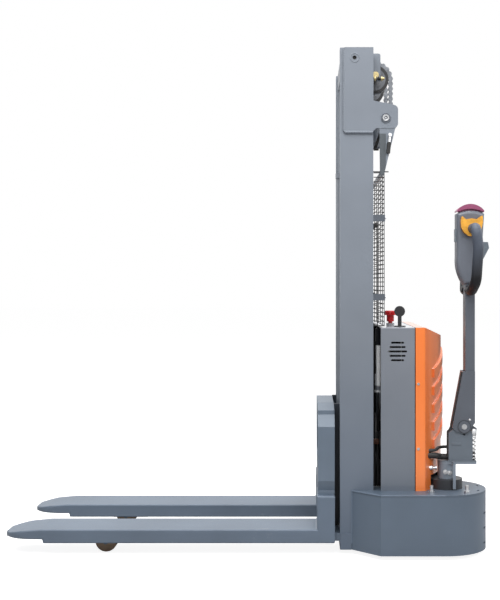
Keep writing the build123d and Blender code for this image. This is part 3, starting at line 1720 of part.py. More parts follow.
export_step(tiller_head.part, "parts/tiller_head.step")

# Belly button: curved red pad over the head top, on a plunger block and a guide stem
belly_end_z = handle_shoulder_z + belly_gap
belly_low_z = handle_crown_z + belly_gap
with BuildPart() as belly_button:
    with BuildSketch(Plane.XZ.offset(-steer_y)):
        with BuildLine():
            ThreePointArc(
                (belly_x - belly_half_length, belly_end_z),
                (belly_x, belly_low_z),
                (belly_x + belly_half_length, belly_end_z),
            )
            Line(
                (belly_x + belly_half_length, belly_end_z),
                (belly_x + belly_half_length, belly_end_z + belly_end_rise),
            )
            ThreePointArc(
                (belly_x + belly_half_length, belly_end_z + belly_end_rise),
                (belly_x, belly_low_z + belly_thickness),
                (belly_x - belly_half_length, belly_end_z + belly_end_rise),
            )
            Line(
                (belly_x - belly_half_length, belly_end_z + belly_end_rise),
                (belly_x - belly_half_length, belly_end_z),
            )
        make_face()
    extrude(amount=belly_half_width, both=True)
    with Locations((belly_x, steer_y, belly_plunger_z)):
        Box(
            2 * belly_plunger_half_length,
            2 * belly_plunger_half_width,
            belly_low_z + belly_plunger_lap - belly_plunger_z,
            align=bottom_up,
        )
    with Locations((belly_x, steer_y, handle_crown_z - belly_stem_depth + belly_travel)):
        Cylinder(
            belly_stem_radius,
            belly_stem_depth - belly_travel + belly_gap + belly_thickness / 2,
            align=bottom_up,
        )
belly_button.part.label = "belly_button"
export_step(belly_button.part, "parts/belly_button.step")

# Horn button in the front face of the head
with BuildPart() as horn_button:
    with Locations((handle_front_x - horn_proud, steer_y, horn_bottom_z + horn_height / 2)):
        Box(
            horn_thickness + horn_proud - seat_gap,
            2 * horn_half_width,
            horn_height,
            align=(Align.MIN, Align.CENTER, Align.CENTER),
        )
    fillet(horn_button.faces().sort_by(Axis.X)[0].edges(), radius=horn_proud / 2)
horn_button.part.label = "horn_button"
export_step(horn_button.part, "parts/horn_button.step")

# Thumb rocker in the rear face of the head
with BuildPart() as thumb_rocker:
    with BuildSketch(Plane.XZ.offset(-steer_y)):
        with BuildLine():
            Polyline(
                (rocker_inner_x, rocker_z + rocker_half_height),
                (rocker_crest_x, rocker_z + rocker_half_height),
                (rocker_tip_x, rocker_z + rocker_tip_rise),
                (rocker_outer_x, rocker_z - rocker_half_height),
                (rocker_inner_x, rocker_z - rocker_half_height),
                close=True,
            )
        make_face()
    extrude(amount=rocker_half_width, both=True)
    with BuildSketch(along_y(rocker_x, steer_y, rocker_z, 1)):
        Circle(rocker_pin_radius)
    extrude(amount=rocker_pin_half_length, both=True)
thumb_rocker.part.label = "thumb_rocker"
export_step(thumb_rocker.part, "parts/thumb_rocker.step")

# Grip loops: a bent tube from the head side down and back to the shaft
grip_radius = 19
grip_x = 826
grip_z = 1193
grip_reach = 142
grip_knee_x = 834
grip_knee_z = 1120
grip_heel_x = 826
grip_heel_z = 1000
grip_foot_x = 818
grip_foot_reach = 90
grip_foot_gap = 2
grip_foot_z = handle_bottom_z - grip_radius - grip_foot_gap
grip_shoulder_radius = 30
grip_knee_radius = 120
grip_heel_radius = 40
grip_foot_radius = 40
grip_bends = (grip_shoulder_radius, grip_knee_radius, grip_heel_radius, grip_foot_radius)
with BuildPart() as grip_loops:
    for side, sign in sides:
        with BuildLine() as grip_path:
            FilletPolyline(
                (grip_x, steer_y + sign * handle_half_width, grip_z),
                (grip_x, steer_y + sign * grip_reach, grip_z),
                (grip_knee_x, steer_y + sign * grip_reach, grip_knee_z),
                (grip_heel_x, steer_y + sign * grip_reach, grip_heel_z),
                (grip_foot_x, steer_y + sign * grip_foot_reach, grip_foot_z),
                (grip_foot_x, steer_y + sign * gusset_inner_half, grip_foot_z),
                radius=grip_bends,
            )
        with BuildSketch(Plane(grip_path.line @ 0, z_dir=grip_path.line % 0)):
            Circle(grip_radius)
        sweep()
grip_loops.part.label = "grip_loops"
export_step(grip_loops.part, "parts/grip_loops.step")

# Throttle butterflies: eared wings that turn on the upper grip tubes
butterfly_inner = 4
butterfly_width = 22
wing_corner_radius = 3
# Wing outline as (x, z) from the centre of the grip tube, starting at the front ear
wing_outline = (
    (-41, 48),
    (-25, 34),
    (-5, 38),
    (14, 35),
    (35, 50),
    (37, 24),
    (31, 0),
    (18, -20),
    (-4, -28),
    (-18, -25),
    (-33, -14),
    (-43, 5),
    (-45, 25),
)
with BuildPart() as throttle_butterflies:
    for side, sign in sides:
        wing_plane = along_y(
            grip_x,
            steer_y + sign * (handle_half_width + butterfly_inner),
            grip_z,
            sign,
        )
        with BuildSketch(wing_plane) as wing:
            with BuildLine():
                Polyline(*[(x, -sign * z) for x, z in wing_outline], close=True)
            make_face()
            fillet(wing.vertices(), radius=wing_corner_radius)
            Circle(grip_radius + seat_gap, mode=Mode.SUBTRACT)
        extrude(amount=butterfly_width)
throttle_butterflies.part.label = "throttle_butterflies"
export_step(throttle_butterflies.part, "parts/throttle_butterflies.step")
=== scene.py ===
# %% [markdown]
# # Electric stacker
# A walk-behind electric stacker: a lift mast with two forks, a power housing behind it and a tiller
# on a steered drive wheel. The solids come ready made as a fixed frame in metres, with +X towards
# the operator, +Y away from the camera and +Z up. This lesson dresses them: first the camera and
# the light, then the finishes, then the pieces that need more detail than a plain solid.

# %% Load the frame
import math

import bmesh
import bpy
from mathutils import Matrix, Vector


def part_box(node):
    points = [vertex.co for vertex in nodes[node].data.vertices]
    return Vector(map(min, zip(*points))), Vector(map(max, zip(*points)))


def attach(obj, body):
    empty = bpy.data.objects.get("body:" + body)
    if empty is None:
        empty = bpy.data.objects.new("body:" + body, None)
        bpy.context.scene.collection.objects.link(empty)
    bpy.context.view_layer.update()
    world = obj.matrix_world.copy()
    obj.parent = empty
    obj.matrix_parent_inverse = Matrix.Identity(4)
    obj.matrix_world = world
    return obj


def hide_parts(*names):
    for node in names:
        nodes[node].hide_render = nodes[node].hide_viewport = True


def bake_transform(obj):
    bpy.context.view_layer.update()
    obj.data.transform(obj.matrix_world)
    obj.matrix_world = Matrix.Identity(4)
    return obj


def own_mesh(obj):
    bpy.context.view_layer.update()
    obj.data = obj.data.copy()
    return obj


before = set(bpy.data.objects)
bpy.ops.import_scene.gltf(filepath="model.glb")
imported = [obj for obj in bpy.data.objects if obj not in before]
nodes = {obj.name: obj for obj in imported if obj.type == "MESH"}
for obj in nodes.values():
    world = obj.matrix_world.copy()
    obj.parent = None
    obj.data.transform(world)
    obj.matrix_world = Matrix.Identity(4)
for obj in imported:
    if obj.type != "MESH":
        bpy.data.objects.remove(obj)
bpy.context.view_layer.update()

# %% [markdown]
# ## Camera
# The photograph looks straight along +Y at the side of the machine, from 4.3 metres away and a metre
# above the floor. The camera stays level, and a lens shift moves the view in place of a turn, so that
# the upright edges of the mast stay upright in the picture.

# %% Camera
eye = Vector((0.2218, -4.287, 0.994))
focal_px = 1089.0
shift_px = (-58.0, -17.0)
image_height = 600.0
camera_data = bpy.data.cameras.new("photo_camera")
camera_data.sensor_fit = "VERTICAL"
camera_data.sensor_height = 36.0
camera_data.lens = focal_px * camera_data.sensor_height / image_height
camera_data.shift_x, camera_data.shift_y = [pixels / image_height for pixels in shift_px]
camera = bpy.data.objects.new("photo_camera", camera_data)
camera.location = eye
camera.rotation_euler = (math.radians(90), 0, 0)
bpy.context.scene.collection.objects.link(camera)
bpy.context.scene.camera = camera
print("lens:", round(camera_data.lens, 2), "mm")

# %% [markdown]
# ## Floor and light
# A studio has a pale floor that runs into a white background. The floor takes the shadow, and a glow
# that only the camera sees lifts it to white. The background is a weak light, but shows at full white
# to the camera and in reflections. The strongest of four soft lamps hangs high in front, because the
# photograph's mast is lighter at the top than the chassis is at the floor. One lamp hangs overhead,
# and two weaker ones stand at the operator's end.

# %% Floor
bpy.context.scene.view_settings.view_transform = "Standard"


def new_material(name):
    material = bpy.data.materials.new(name)
    material.use_nodes = True
    tree = material.node_tree
    return material, tree.nodes, tree.links, tree.nodes["Principled BSDF"]


floor_half = 40.0
floor_glow = 0.9
floor_mesh = bmesh.new()
bmesh.ops.create_grid(floor_mesh, x_segments=1, y_segments=1, size=floor_half)
floor_data = bpy.data.meshes.new("floor")
floor_mesh.to_mesh(floor_data)
floor_mesh.free()
floor = bpy.data.objects.new("floor", floor_data)
bpy.context.scene.collection.objects.link(floor)
pale, pale_nodes, pale_links, pale_shader = new_material("studio_floor")
pale_shader.inputs["Base Color"].default_value = (0.48, 0.48, 0.48, 1)
pale_shader.inputs["Roughness"].default_value = 0.9
pale_shader.inputs["Specular IOR Level"].default_value = 0.0
pale_path = pale_nodes.new("ShaderNodeLightPath")
pale_shader.inputs["Emission Color"].default_value = (1, 1, 1, 1)
pale_glow = pale_nodes.new("ShaderNodeMath")
pale_glow.operation = "MULTIPLY"
pale_glow.inputs[1].default_value = floor_glow
pale_links.new(pale_path.outputs["Is Camera Ray"], pale_glow.inputs[0])
pale_links.new(pale_glow.outputs[0], pale_shader.inputs["Emission Strength"])
floor_data.materials.append(pale)
print("floor side:", 2 * floor_half, "m")

# %% World and lamps
sky_fill = 0.2
sky_shown = 1.0
world = bpy.data.worlds.new("studio")
bpy.context.scene.world = world
world.use_nodes = True
sky = world.node_tree
sky_path = sky.nodes.new("ShaderNodeLightPath")
seen = sky.nodes.new("ShaderNodeMath")
seen.operation = "MAXIMUM"
sky.links.new(sky_path.outputs["Is Camera Ray"], seen.inputs[0])
sky.links.new(sky_path.outputs["Is Transmission Ray"], seen.inputs[1])
mirrored = sky.nodes.new("ShaderNodeMath")
mirrored.operation = "MAXIMUM"
sky.links.new(seen.outputs[0], mirrored.inputs[0])
sky.links.new(sky_path.outputs["Is Glossy Ray"], mirrored.inputs[1])
strength = sky.nodes.new("ShaderNodeMapRange")
strength.inputs["To Min"].default_value = sky_fill
strength.inputs["To Max"].default_value = sky_shown
sky.links.new(mirrored.outputs[0], strength.inputs["Value"])
backdrop = sky.nodes["Background"]
backdrop.inputs["Color"].default_value = (1, 1, 1, 1)
sky.links.new(strength.outputs[0], backdrop.inputs["Strength"])


def soft_lamp(name, place, target, size, power):
    lamp = bpy.data.lights.new(name, "AREA")
    lamp.shape = "RECTANGLE"
    lamp.size, lamp.size_y = size
    lamp.energy = power
    stand = bpy.data.objects.new(name, lamp)
    stand.location = place
    aim = (Vector(target) - Vector(place)).to_track_quat("-Z", "Y")
    stand.rotation_euler = aim.to_euler()
    bpy.context.scene.collection.objects.link(stand)


soft_lamp("key_lamp", (-0.4, -2.6, 4.0), (0.35, -0.2, 1.4), (4.4, 3.0), 182)
soft_lamp("top_lamp", (0.2, 0.4, 4.2), (0.1, 0, 0.3), (3.4, 2.4), 135)
soft_lamp("rear_lamp", (3.8, 1.0, 2.6), (0.5, 0, 0.8), (3.6, 4.0), 60)
soft_lamp("side_lamp", (2.6, -2.4, 1.9), (0.6, -0.2, 0.7), (1.2, 1.2), 22)
print("lamps:", len(bpy.data.lights))

# %% [markdown]
# ## Finishes
# Sprayed paint is never one flat colour: it drifts a little from place to place, has a fine orange
# peel and picks up scuffs. All three come from noise on Object coordinates, in one node group that
# every finish shares. Each finish then gives its own scales and strengths.

# %% Surface group
surface = bpy.data.node_groups.new("surface_detail", "ShaderNodeTree")
for title, start in (("Patch Scale", 4.0), ("Grain Scale", 700.0), ("Scuff Amount", 0.2)):
    socket = surface.interface.new_socket(title, in_out="INPUT", socket_type="NodeSocketFloat")
    socket.default_value = start
for title in ("Tone", "Grain", "Scuff"):
    surface.interface.new_socket(title, in_out="OUTPUT", socket_type="NodeSocketFloat")
group_in = surface.nodes.new("NodeGroupInput")
group_out = surface.nodes.new("NodeGroupOutput")
group_place = surface.nodes.new("ShaderNodeTexCoord")


def group_noise(detail, roughness):
    noise = surface.nodes.new("ShaderNodeTexNoise")
    noise.inputs["Detail"].default_value = detail
    noise.inputs["Roughness"].default_value = roughness
    surface.links.new(group_place.outputs["Object"], noise.inputs["Vector"])
    return noise


drift = group_noise(detail=3.0, roughness=0.55)
surface.links.new(group_in.outputs["Patch Scale"], drift.inputs["Scale"])
drift_range = surface.nodes.new("ShaderNodeMapRange")
drift_range.inputs["From Min"].default_value = 0.3
drift_range.inputs["From Max"].default_value = 0.7
surface.links.new(drift.outputs["Fac"], drift_range.inputs["Value"])
surface.links.new(drift_range.outputs[0], group_out.inputs["Tone"])
peel = group_noise(detail=2.0, roughness=0.5)
surface.links.new(group_in.outputs["Grain Scale"], peel.inputs["Scale"])
surface.links.new(peel.outputs["Fac"], group_out.inputs["Grain"])
scuff_edge = 0.78
rub = group_noise(detail=9.0, roughness=0.72)
rub.inputs["Scale"].default_value = 9.0
rub_edge = surface.nodes.new("ShaderNodeMath")
rub_edge.operation = "SUBTRACT"
rub_edge.inputs[0].default_value = scuff_edge
surface.links.new(group_in.outputs["Scuff Amount"], rub_edge.inputs[1])
rub_range = surface.nodes.new("ShaderNodeMapRange")
rub_range.inputs["From Max"].default_value = 0.86
surface.links.new(rub.outputs["Fac"], rub_range.inputs["Value"])
surface.links.new(rub_edge.outputs[0], rub_range.inputs["From Min"])
surface.links.new(rub_range.outputs[0], group_out.inputs["Scuff"])
print("surface group nodes:", len(surface.nodes))

# %% [markdown]
# A finish is a Principled shader fed by that group: the tone moves the colour up and down, the
# grain sets roughness and a faint bump, and the scuffs lift the colour towards bare or dusty.
# Constants such as the coat are set on the shader itself.

# %% Finish maker
dust_share = 0.3
dust_lift = 0.02
least_rough = 0.02


def linear(red, green, blue):
    """Screen colour, 0 to 255, as linear light by the sRGB curve."""
    return [((c / 255 + 0.055) / 1.055) ** 2.4 if c > 10 else c / 255 / 12.92 for c in (red, green, blue)]


def finish(name, screen, rough, metal=0.0, drift_share=0.1, patch=4.0, grain=700.0, peel_strength=0.06,
           scuff=0.08, scuff_screen=None, spread=0.1, coat=0.0, specular=0.5):
    """Painted, moulded or metal surface with drift, grain and scuffs."""
    material, made, links, shader = new_material(name)
    colour = linear(*screen)
    detail = made.new("ShaderNodeGroup")
    detail.node_tree = surface
    detail.inputs["Patch Scale"].default_value = patch
    detail.inputs["Grain Scale"].default_value = grain
    detail.inputs["Scuff Amount"].default_value = scuff
    tone = made.new("ShaderNodeMix")
    tone.data_type = "RGBA"
    tone.inputs["A"].default_value = [c * (1 - drift_share) for c in colour] + [1]
    tone.inputs["B"].default_value = [min(1, c * (1 + drift_share)) for c in colour] + [1]
    links.new(detail.outputs["Tone"], tone.inputs["Factor"])
    worn = made.new("ShaderNodeMix")
    worn.data_type = "RGBA"
    links.new(tone.outputs["Result"], worn.inputs["A"])
    if scuff_screen:
        bare = linear(*scuff_screen)
    else:
        dust = dust_share * sum(colour) / 3 + dust_lift
        bare = [c * (1 - dust_share) + dust for c in colour]
    worn.inputs["B"].default_value = bare + [1]
    links.new(detail.outputs["Scuff"], worn.inputs["Factor"])
    links.new(worn.outputs["Result"], shader.inputs["Base Color"])
    gloss = made.new("ShaderNodeMapRange")
    gloss.inputs["To Min"].default_value = max(least_rough, rough - spread)
    gloss.inputs["To Max"].default_value = min(1.0, rough + spread)
    links.new(detail.outputs["Grain"], gloss.inputs["Value"])
    links.new(gloss.outputs[0], shader.inputs["Roughness"])
    bump = made.new("ShaderNodeBump")
    bump.inputs["Strength"].default_value = peel_strength
    bump.inputs["Distance"].default_value = 0.002
    links.new(detail.outputs["Grain"], bump.inputs["Height"])
    links.new(bump.outputs["Normal"], shader.inputs["Normal"])
    shader.inputs["Metallic"].default_value = metal
    shader.inputs["Coat Weight"].default_value = coat
    shader.inputs["Coat Roughness"].default_value = 0.08
    shader.inputs["Specular IOR Level"].default_value = specular
    return material


mast_grey = finish("mast_grey", (124, 131, 141), 0.42, patch=2.2, scuff=0.1)
chassis_grey = finish("chassis_grey", (91, 104, 119), 0.4, patch=3.0, scuff=0.1)
deck_grey = finish("deck_grey", (83, 95, 109), 0.42, patch=3.0, scuff=0.12)
fork_grey = finish("fork_grey", (97, 110, 126), 0.38, patch=3.5, scuff=0.14, scuff_screen=(150, 152, 155))
carriage_grey = finish("carriage_grey", (103, 116, 131), 0.38, patch=3.5, scuff=0.1)
housing_grey = finish("housing_grey", (126, 131, 140), 0.38, patch=2.5, grain=500.0, scuff=0.06, coat=0.8)
cover_orange = finish("cover_orange", (255, 134, 62), 0.34, patch=2.0, drift_share=0.06, scuff=0.03,
                      coat=0.85)
tiller_grey = finish("tiller_grey", (86, 91, 100), 0.4, patch=6.0, scuff=0.1)
yoke_grey = finish("yoke_grey", (98, 107, 117), 0.4, patch=6.0, scuff=0.1)
black_enamel = finish("black_enamel", (26, 26, 28), 0.38, patch=8.0, drift_share=0.2, scuff=0.12,
                      scuff_screen=(70, 70, 72))
zinc_plate = finish("zinc_plate", (206, 207, 209), 0.28, metal=1.0, patch=30.0, grain=1500.0, scuff=0.2,
                    scuff_screen=(160, 158, 150))
chain_steel = finish("chain_steel", (116, 119, 124), 0.42, metal=1.0, patch=60.0, drift_share=0.25,
                     scuff=0.18, scuff_screen=(84, 84, 84))
roller_steel = finish("roller_steel", (118, 120, 124), 0.32, metal=1.0, patch=20.0, grain=1800.0, scuff=0.2,
                      scuff_screen=(70, 68, 64))
rod_chrome = finish("rod_chrome", (225, 226, 228), 0.1, metal=1.0, patch=12.0, spread=0.04, scuff=0.05)
pin_brass = finish("pin_brass", (186, 170, 126), 0.28, metal=1.0, patch=40.0, scuff=0.15,
                   scuff_screen=(120, 96, 50))
cast_alloy = finish("cast_alloy", (196, 198, 200), 0.42, metal=1.0, patch=20.0, grain=900.0,
                    peel_strength=0.12)
load_nylon = finish("load_nylon", (144, 120, 98), 0.45, patch=18.0, scuff=0.25, scuff_screen=(92, 74, 58))
wheel_tyre = finish("wheel_tyre", (52, 50, 48), 0.7, patch=14.0, drift_share=0.2, grain=1100.0,
                    peel_strength=0.15, scuff=0.3, scuff_screen=(96, 92, 86))
grip_rubber = finish("grip_rubber", (78, 85, 98), 0.5, patch=10.0, drift_share=0.2, grain=2200.0,
                     peel_strength=0.25, scuff=0.1, specular=0.3)
black_moulding = finish("black_moulding", (32, 33, 36), 0.48, patch=14.0, drift_share=0.15, grain=1800.0,
                        peel_strength=0.15)
butterfly_yellow = finish("butterfly_yellow", (236, 170, 64), 0.34, patch=45.0, drift_share=0.22,
                          grain=1600.0, scuff=0.06)
belly_red = finish("belly_red", (142, 68, 104), 0.4, patch=14.0, grain=1600.0, scuff=0.05, coat=0.2)
stop_red = finish("stop_red", (196, 22, 28), 0.32, patch=14.0, grain=1600.0, scuff=0.04, coat=0.3)
battery_case = finish("battery_case", (58, 58, 62), 0.55, patch=9.0, grain=1500.0, peel_strength=0.2)
head_moulding = finish("head_moulding", (104, 109, 119), 0.42, patch=8.0, grain=1700.0, peel_strength=0.15)
hose_rubber = finish("hose_rubber", (30, 30, 31), 0.55, patch=20.0, grain=2500.0, peel_strength=0.2)
guard_wire = finish("guard_wire", (34, 35, 38), 0.42, patch=12.0, scuff=0.08)
bracket_grey = finish("bracket_grey", (124, 131, 141), 0.42, patch=6.0, scuff=0.1)
rocker_grey = finish("rocker_grey", (112, 122, 132), 0.42, patch=14.0, grain=1700.0, peel_strength=0.12)
barrel_grey = finish("barrel_grey", (120, 126, 135), 0.36, patch=8.0, scuff=0.08)
pulley_steel = finish("pulley_steel", (98, 100, 104), 0.4, metal=1.0, patch=24.0, grain=1600.0, scuff=0.15)
drum_enamel = finish("drum_enamel", (46, 48, 52), 0.4, patch=8.0, drift_share=0.15, scuff=0.12)
base_plastic = finish("base_plastic", (30, 31, 34), 0.45, patch=14.0, grain=1800.0)
motor_case = finish("motor_case", (236, 238, 240), 0.3, metal=1.0, patch=16.0, grain=900.0, scuff=0.12)
print("finishes:", len(bpy.data.materials))

# %% [markdown]
# Each solid of the frame keeps its shape and takes its finish by name. A solid that a finer piece
# replaces further down takes a finish as well, so that nothing is left plain.

# %% Dress the solids
dressing = {
    mast_grey: ["mast_channel_near", "mast_channel_far", "mast_head_frame", "mast_base_beam",
                "inner_channel_near", "inner_channel_far", "inner_top_beam", "inner_bottom_beam"],
    bracket_grey: ["guard_brackets"],
    chassis_grey: ["chassis_skirt", "support_leg_near", "support_leg_far"],
    deck_grey: ["chassis_deck"],
    fork_grey: ["fork_near", "fork_far"],
    carriage_grey: ["carriage_frame"],
    housing_grey: ["housing_shell", "housing_top_panel"],
    cover_orange: ["rear_cover"],
    tiller_grey: ["tiller_arm"],
    yoke_grey: ["tiller_base"],
    drum_enamel: ["steering_head"],
    black_enamel: ["caster_fork", "oil_tank"],
    barrel_grey: ["lift_cylinder"],
    zinc_plate: ["deck_studs", "cover_screws", "tiller_spring", "pivot_pin"],
    chain_steel: ["chain_wraps", "chain_rear_runs", "chain_front_runs"],
    pulley_steel: ["chain_pulleys"],
    roller_steel: ["mast_top_rollers", "inner_foot_rollers", "carriage_high_rollers",
                   "carriage_low_rollers", "steering_bearing"],
    rod_chrome: ["cylinder_rod"],
    pin_brass: ["pulley_shaft"],
    cast_alloy: ["drive_hub"],
    motor_case: ["pump_motor"],
    load_nylon: ["load_roller_near", "load_roller_far"],
    wheel_tyre: ["drive_tyre", "caster_wheel"],
    grip_rubber: ["grip_loops"],
    base_plastic: ["switch_bases"],
    black_moulding: ["switch_key", "motor_controller"],
    rocker_grey: ["thumb_rocker", "horn_button"],
    butterfly_yellow: ["throttle_butterflies"],
    belly_red: ["belly_button"],
    stop_red: ["estop_button"],
    battery_case: ["batteries"],
    head_moulding: ["tiller_head"],
    hose_rubber: ["hydraulic_hose", "control_cables"],
    guard_wire: ["mesh_guard"],
}
for material, names in dressing.items():
    for name in names:
        nodes[name].data.materials.clear()
        nodes[name].data.materials.append(material)
undressed = set(nodes) - {name for names in dressing.values() for name in names}
print("dressed:", len(nodes) - len(undressed), "left:", sorted(undressed))

# %% [markdown]
# ## Zones
# Some solids carry more than one colour: the pump motor has a black cap over a bright case. Other
# zones are painted light and shade: the insides of the housing and of the orange cover are painted near
# black as shade, the rail across the guard is painted near white as light, on what is taken as bare
# zinc, the lower mast and housing are painted darker as shade, and a few single parts get painted shade
# or light of their own. A zone blends a second colour in where coordinates of the object, or of its
# normal, lie inside bands.

# %% Zone maker


def zone(material, screen, *bands, soft=0.001):
    """Second colour where each band's reading lies between its low and high, with a soft edge."""
    made, links = material.node_tree.nodes, material.node_tree.links
    shader = made["Principled BSDF"]
    spot = made.new("ShaderNodeTexCoord")
    share = None
    for reading, axis, low, high in bands:
        split = made.new("ShaderNodeSeparateXYZ")
        links.new(spot.outputs[reading], split.inputs[0])
        for edge, start, end in ((low, 0.0, 1.0), (high, 1.0, 0.0)):
            ramp = made.new("ShaderNodeMapRange")
            ramp.inputs["From Min"].default_value = edge - soft
            ramp.inputs["From Max"].default_value = edge + soft
            ramp.inputs["To Min"].default_value = start
            ramp.inputs["To Max"].default_value = end
            links.new(split.outputs[axis], ramp.inputs["Value"])
            if share is None:
                share = ramp.outputs[0]
                continue
            both = made.new("ShaderNodeMath")
            both.operation = "MULTIPLY"
            links.new(share, both.inputs[0])
            links.new(ramp.outputs[0], both.inputs[1])
            share = both.outputs[0]
    blend = made.new("ShaderNodeMix")
    blend.data_type = "RGBA"
    links.new(shader.inputs["Base Color"].links[0].from_socket, blend.inputs["A"])
    blend.inputs["B"].default_value = linear(*screen) + [1]
    links.new(share, blend.inputs["Factor"])
    links.new(blend.outputs["Result"], shader.inputs["Base Color"])


# %% Zones of the solids
beyond = 9.0
# Painted shade: the mast darkens and turns bluer towards its foot, for light that falls from above.
zone(mast_grey, (93, 105, 121), ("Object", "Z", -beyond, 0.42), soft=0.36)
# Painted shade: the housing also darkens towards the bottom.
zone(housing_grey, (98, 107, 119), ("Object", "Z", -beyond, 0.45), soft=0.3)
# Painted shade: all of the housing inside its side walls is near black, so its inside and vents look dark.
zone(housing_grey, (16, 17, 19), ("Object", "Y", -0.3086, 0.3086), soft=0.0004)
# Painted light: the top is lifted out of the dark zone above and painted lighter than the sides, as a painted
# highlight.
zone(housing_grey, (178, 182, 192), ("Object", "Z", 0.8284, beyond), soft=0.0002)
# Painted shade: faces of the orange cover that look into its hollow, and the inner face of its far wall, are
# near black.
zone(cover_orange, (9, 6, 5), ("Normal", "X", -beyond, -0.3), soft=0.02)
zone(cover_orange, (9, 6, 5), ("Normal", "Y", -beyond, -0.4), ("Object", "Y", 0.0, beyond), soft=0.02)
# Painted shade: the near faces of the ridges at the back of the cover are a darker orange.
zone(cover_orange, (226, 104, 38), ("Normal", "Y", -beyond, -0.5), ("Object", "X", 0.662, beyond), soft=0.02)
# Painted light: the column under the yoke plate is painted lighter, lifting the shade that the plate casts on
# it.
zone(yoke_grey, (126, 136, 148), ("Object", "Z", 0.236, 0.333), soft=0.004)
# Painted shade: the back of the carriage is near black, as in shadow.
zone(carriage_grey, (42, 48, 57), ("Object", "X", 0.3195, beyond), soft=0.0006)
zone(bracket_grey, (86, 92, 101), ("Object", "Z", -beyond, 1.385))
# Painted shade: the front part of the hangers under the mast head is darker.
zone(bracket_grey, (80, 86, 91), ("Object", "X", -beyond, 0.507), ("Object", "Z", 1.385, 1.54), soft=0.002)
# Painted light: the rail across the guard is near white, so it reads light though it lies in shade. Bare zinc
# is taken as its real finish.
zone(bracket_grey, (234, 236, 238), ("Object", "Y", -0.286, 0.286))
# Painted shade: the side walls of the throttle butterflies are a darker brown-yellow, as shade round their
# edges.
zone(butterfly_yellow, (170, 108, 30), ("Normal", "Y", -0.9, 0.9), soft=0.06)
zone(motor_case, (20, 22, 27), ("Object", "Z", 0.755, beyond))
zone(motor_case, (120, 124, 130), ("Object", "Z", 0.582, 0.6), soft=0.003)
zone(motor_case, (92, 96, 102), ("Object", "Z", -beyond, 0.575), soft=0.004)
# Painted shade: the grips darken towards the bottom, as shade under them.
zone(grip_rubber, (17, 18, 22), ("Object", "Z", -beyond, 1.085), soft=0.07)
zone(base_plastic, (168, 170, 174), ("Object", "Y", -0.18, beyond))
zoned = [m.name for m in bpy.data.materials if m.use_nodes and "Separate XYZ" in m.node_tree.nodes]
print("zones set on:", sorted(zoned))

# %% [markdown]
# ## Cables and hose
# Two cables leave the orange cover for the drive head, and a hose joins the valve block to the pump.
# All are held at both ends, so each is a smooth NURBS line over the points of its solid's route,
# thickened to a tube.

# %% Piece maker
smooth_limit = math.radians(35)


def add_piece(name, mesh, material, body=None, replaced=()):
    """Make a closed piece of a bmesh, without the walls that extruding leaves inside it."""
    inner_walls = [face for face in mesh.faces if all(len(edge.link_faces) > 2 for edge in face.edges)]
    bmesh.ops.delete(mesh, geom=inner_walls, context="FACES_ONLY")
    bmesh.ops.recalc_face_normals(mesh, faces=mesh.faces)
    open_edges = sum(1 for edge in mesh.edges if not edge.is_manifold)
    data = bpy.data.meshes.new(name)
    mesh.to_mesh(data)
    mesh.free()
    data.shade_smooth()
    data.set_sharp_from_angle(angle=smooth_limit)
    data.materials.append(material)
    piece = bpy.data.objects.new(name, data)
    bpy.context.scene.collection.objects.link(piece)
    if body:
        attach(piece, body)
    if replaced:
        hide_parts(*replaced)
    print(name, "faces:", len(data.polygons), "open edges:", open_edges)
    return piece


# %% Tubes along a route
merge_share = 0.02


def route_tube(route, radius):
    """Closed tube mesh round a NURBS line with the route's points as its control points."""
    curve = bpy.data.curves.new("route", "CURVE")
    curve.dimensions = "3D"
    curve.resolution_u = 10
    curve.bevel_depth = radius
    curve.bevel_resolution = 4
    curve.use_fill_caps = True
    spline = curve.splines.new("NURBS")
    spline.points.add(len(route) - 1)
    for spot, point in zip(spline.points, route):
        spot.co = (*point, 1)
    spline.order_u = 3
    spline.use_endpoint_u = True
    holder = bpy.data.objects.new("route", curve)
    tube = bmesh.new()
    tube.from_mesh(bpy.data.meshes.new_from_object(holder))
    bmesh.ops.remove_doubles(tube, verts=tube.verts, dist=radius * merge_share)
    bpy.data.objects.remove(holder)
    return tube


# %% Cables and hose
thick_route = [(0.6498, -0.28, 0.36), (0.6958, -0.28, 0.36), (0.705, -0.246, 0.35),
               (0.7407, -0.246, 0.35)]
thin_route = [(0.6498, -0.28, 0.377), (0.6958, -0.28, 0.377), (0.705, -0.228, 0.384),
              (0.7407, -0.228, 0.384)]
cable_runs = {"drive_cable": (thick_route, 0.0112), "sensor_cable": (thin_route, 0.0058)}
for title, (route, radius) in cable_runs.items():
    cable = add_piece(title, route_tube(route, radius), hose_rubber,
                      replaced=("control_cables",))
    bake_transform(cable)
hose_route = [(0.486, -0.185, 0.436), (0.486, -0.185, 0.556), (0.511, -0.1256, 0.556)]
hose_radius = 0.0055
add_piece("pressure_hose", route_tube(hose_route, hose_radius), hose_rubber, "chassis",
          ("hydraulic_hose",))

# %% [markdown]
# ## Return spring
# A bright coil spring pushes the tiller back up. It is wound wire, so a circle is spun round the
# spring's axis while it climbs. The end coils lie close together, as a ground spring's do.

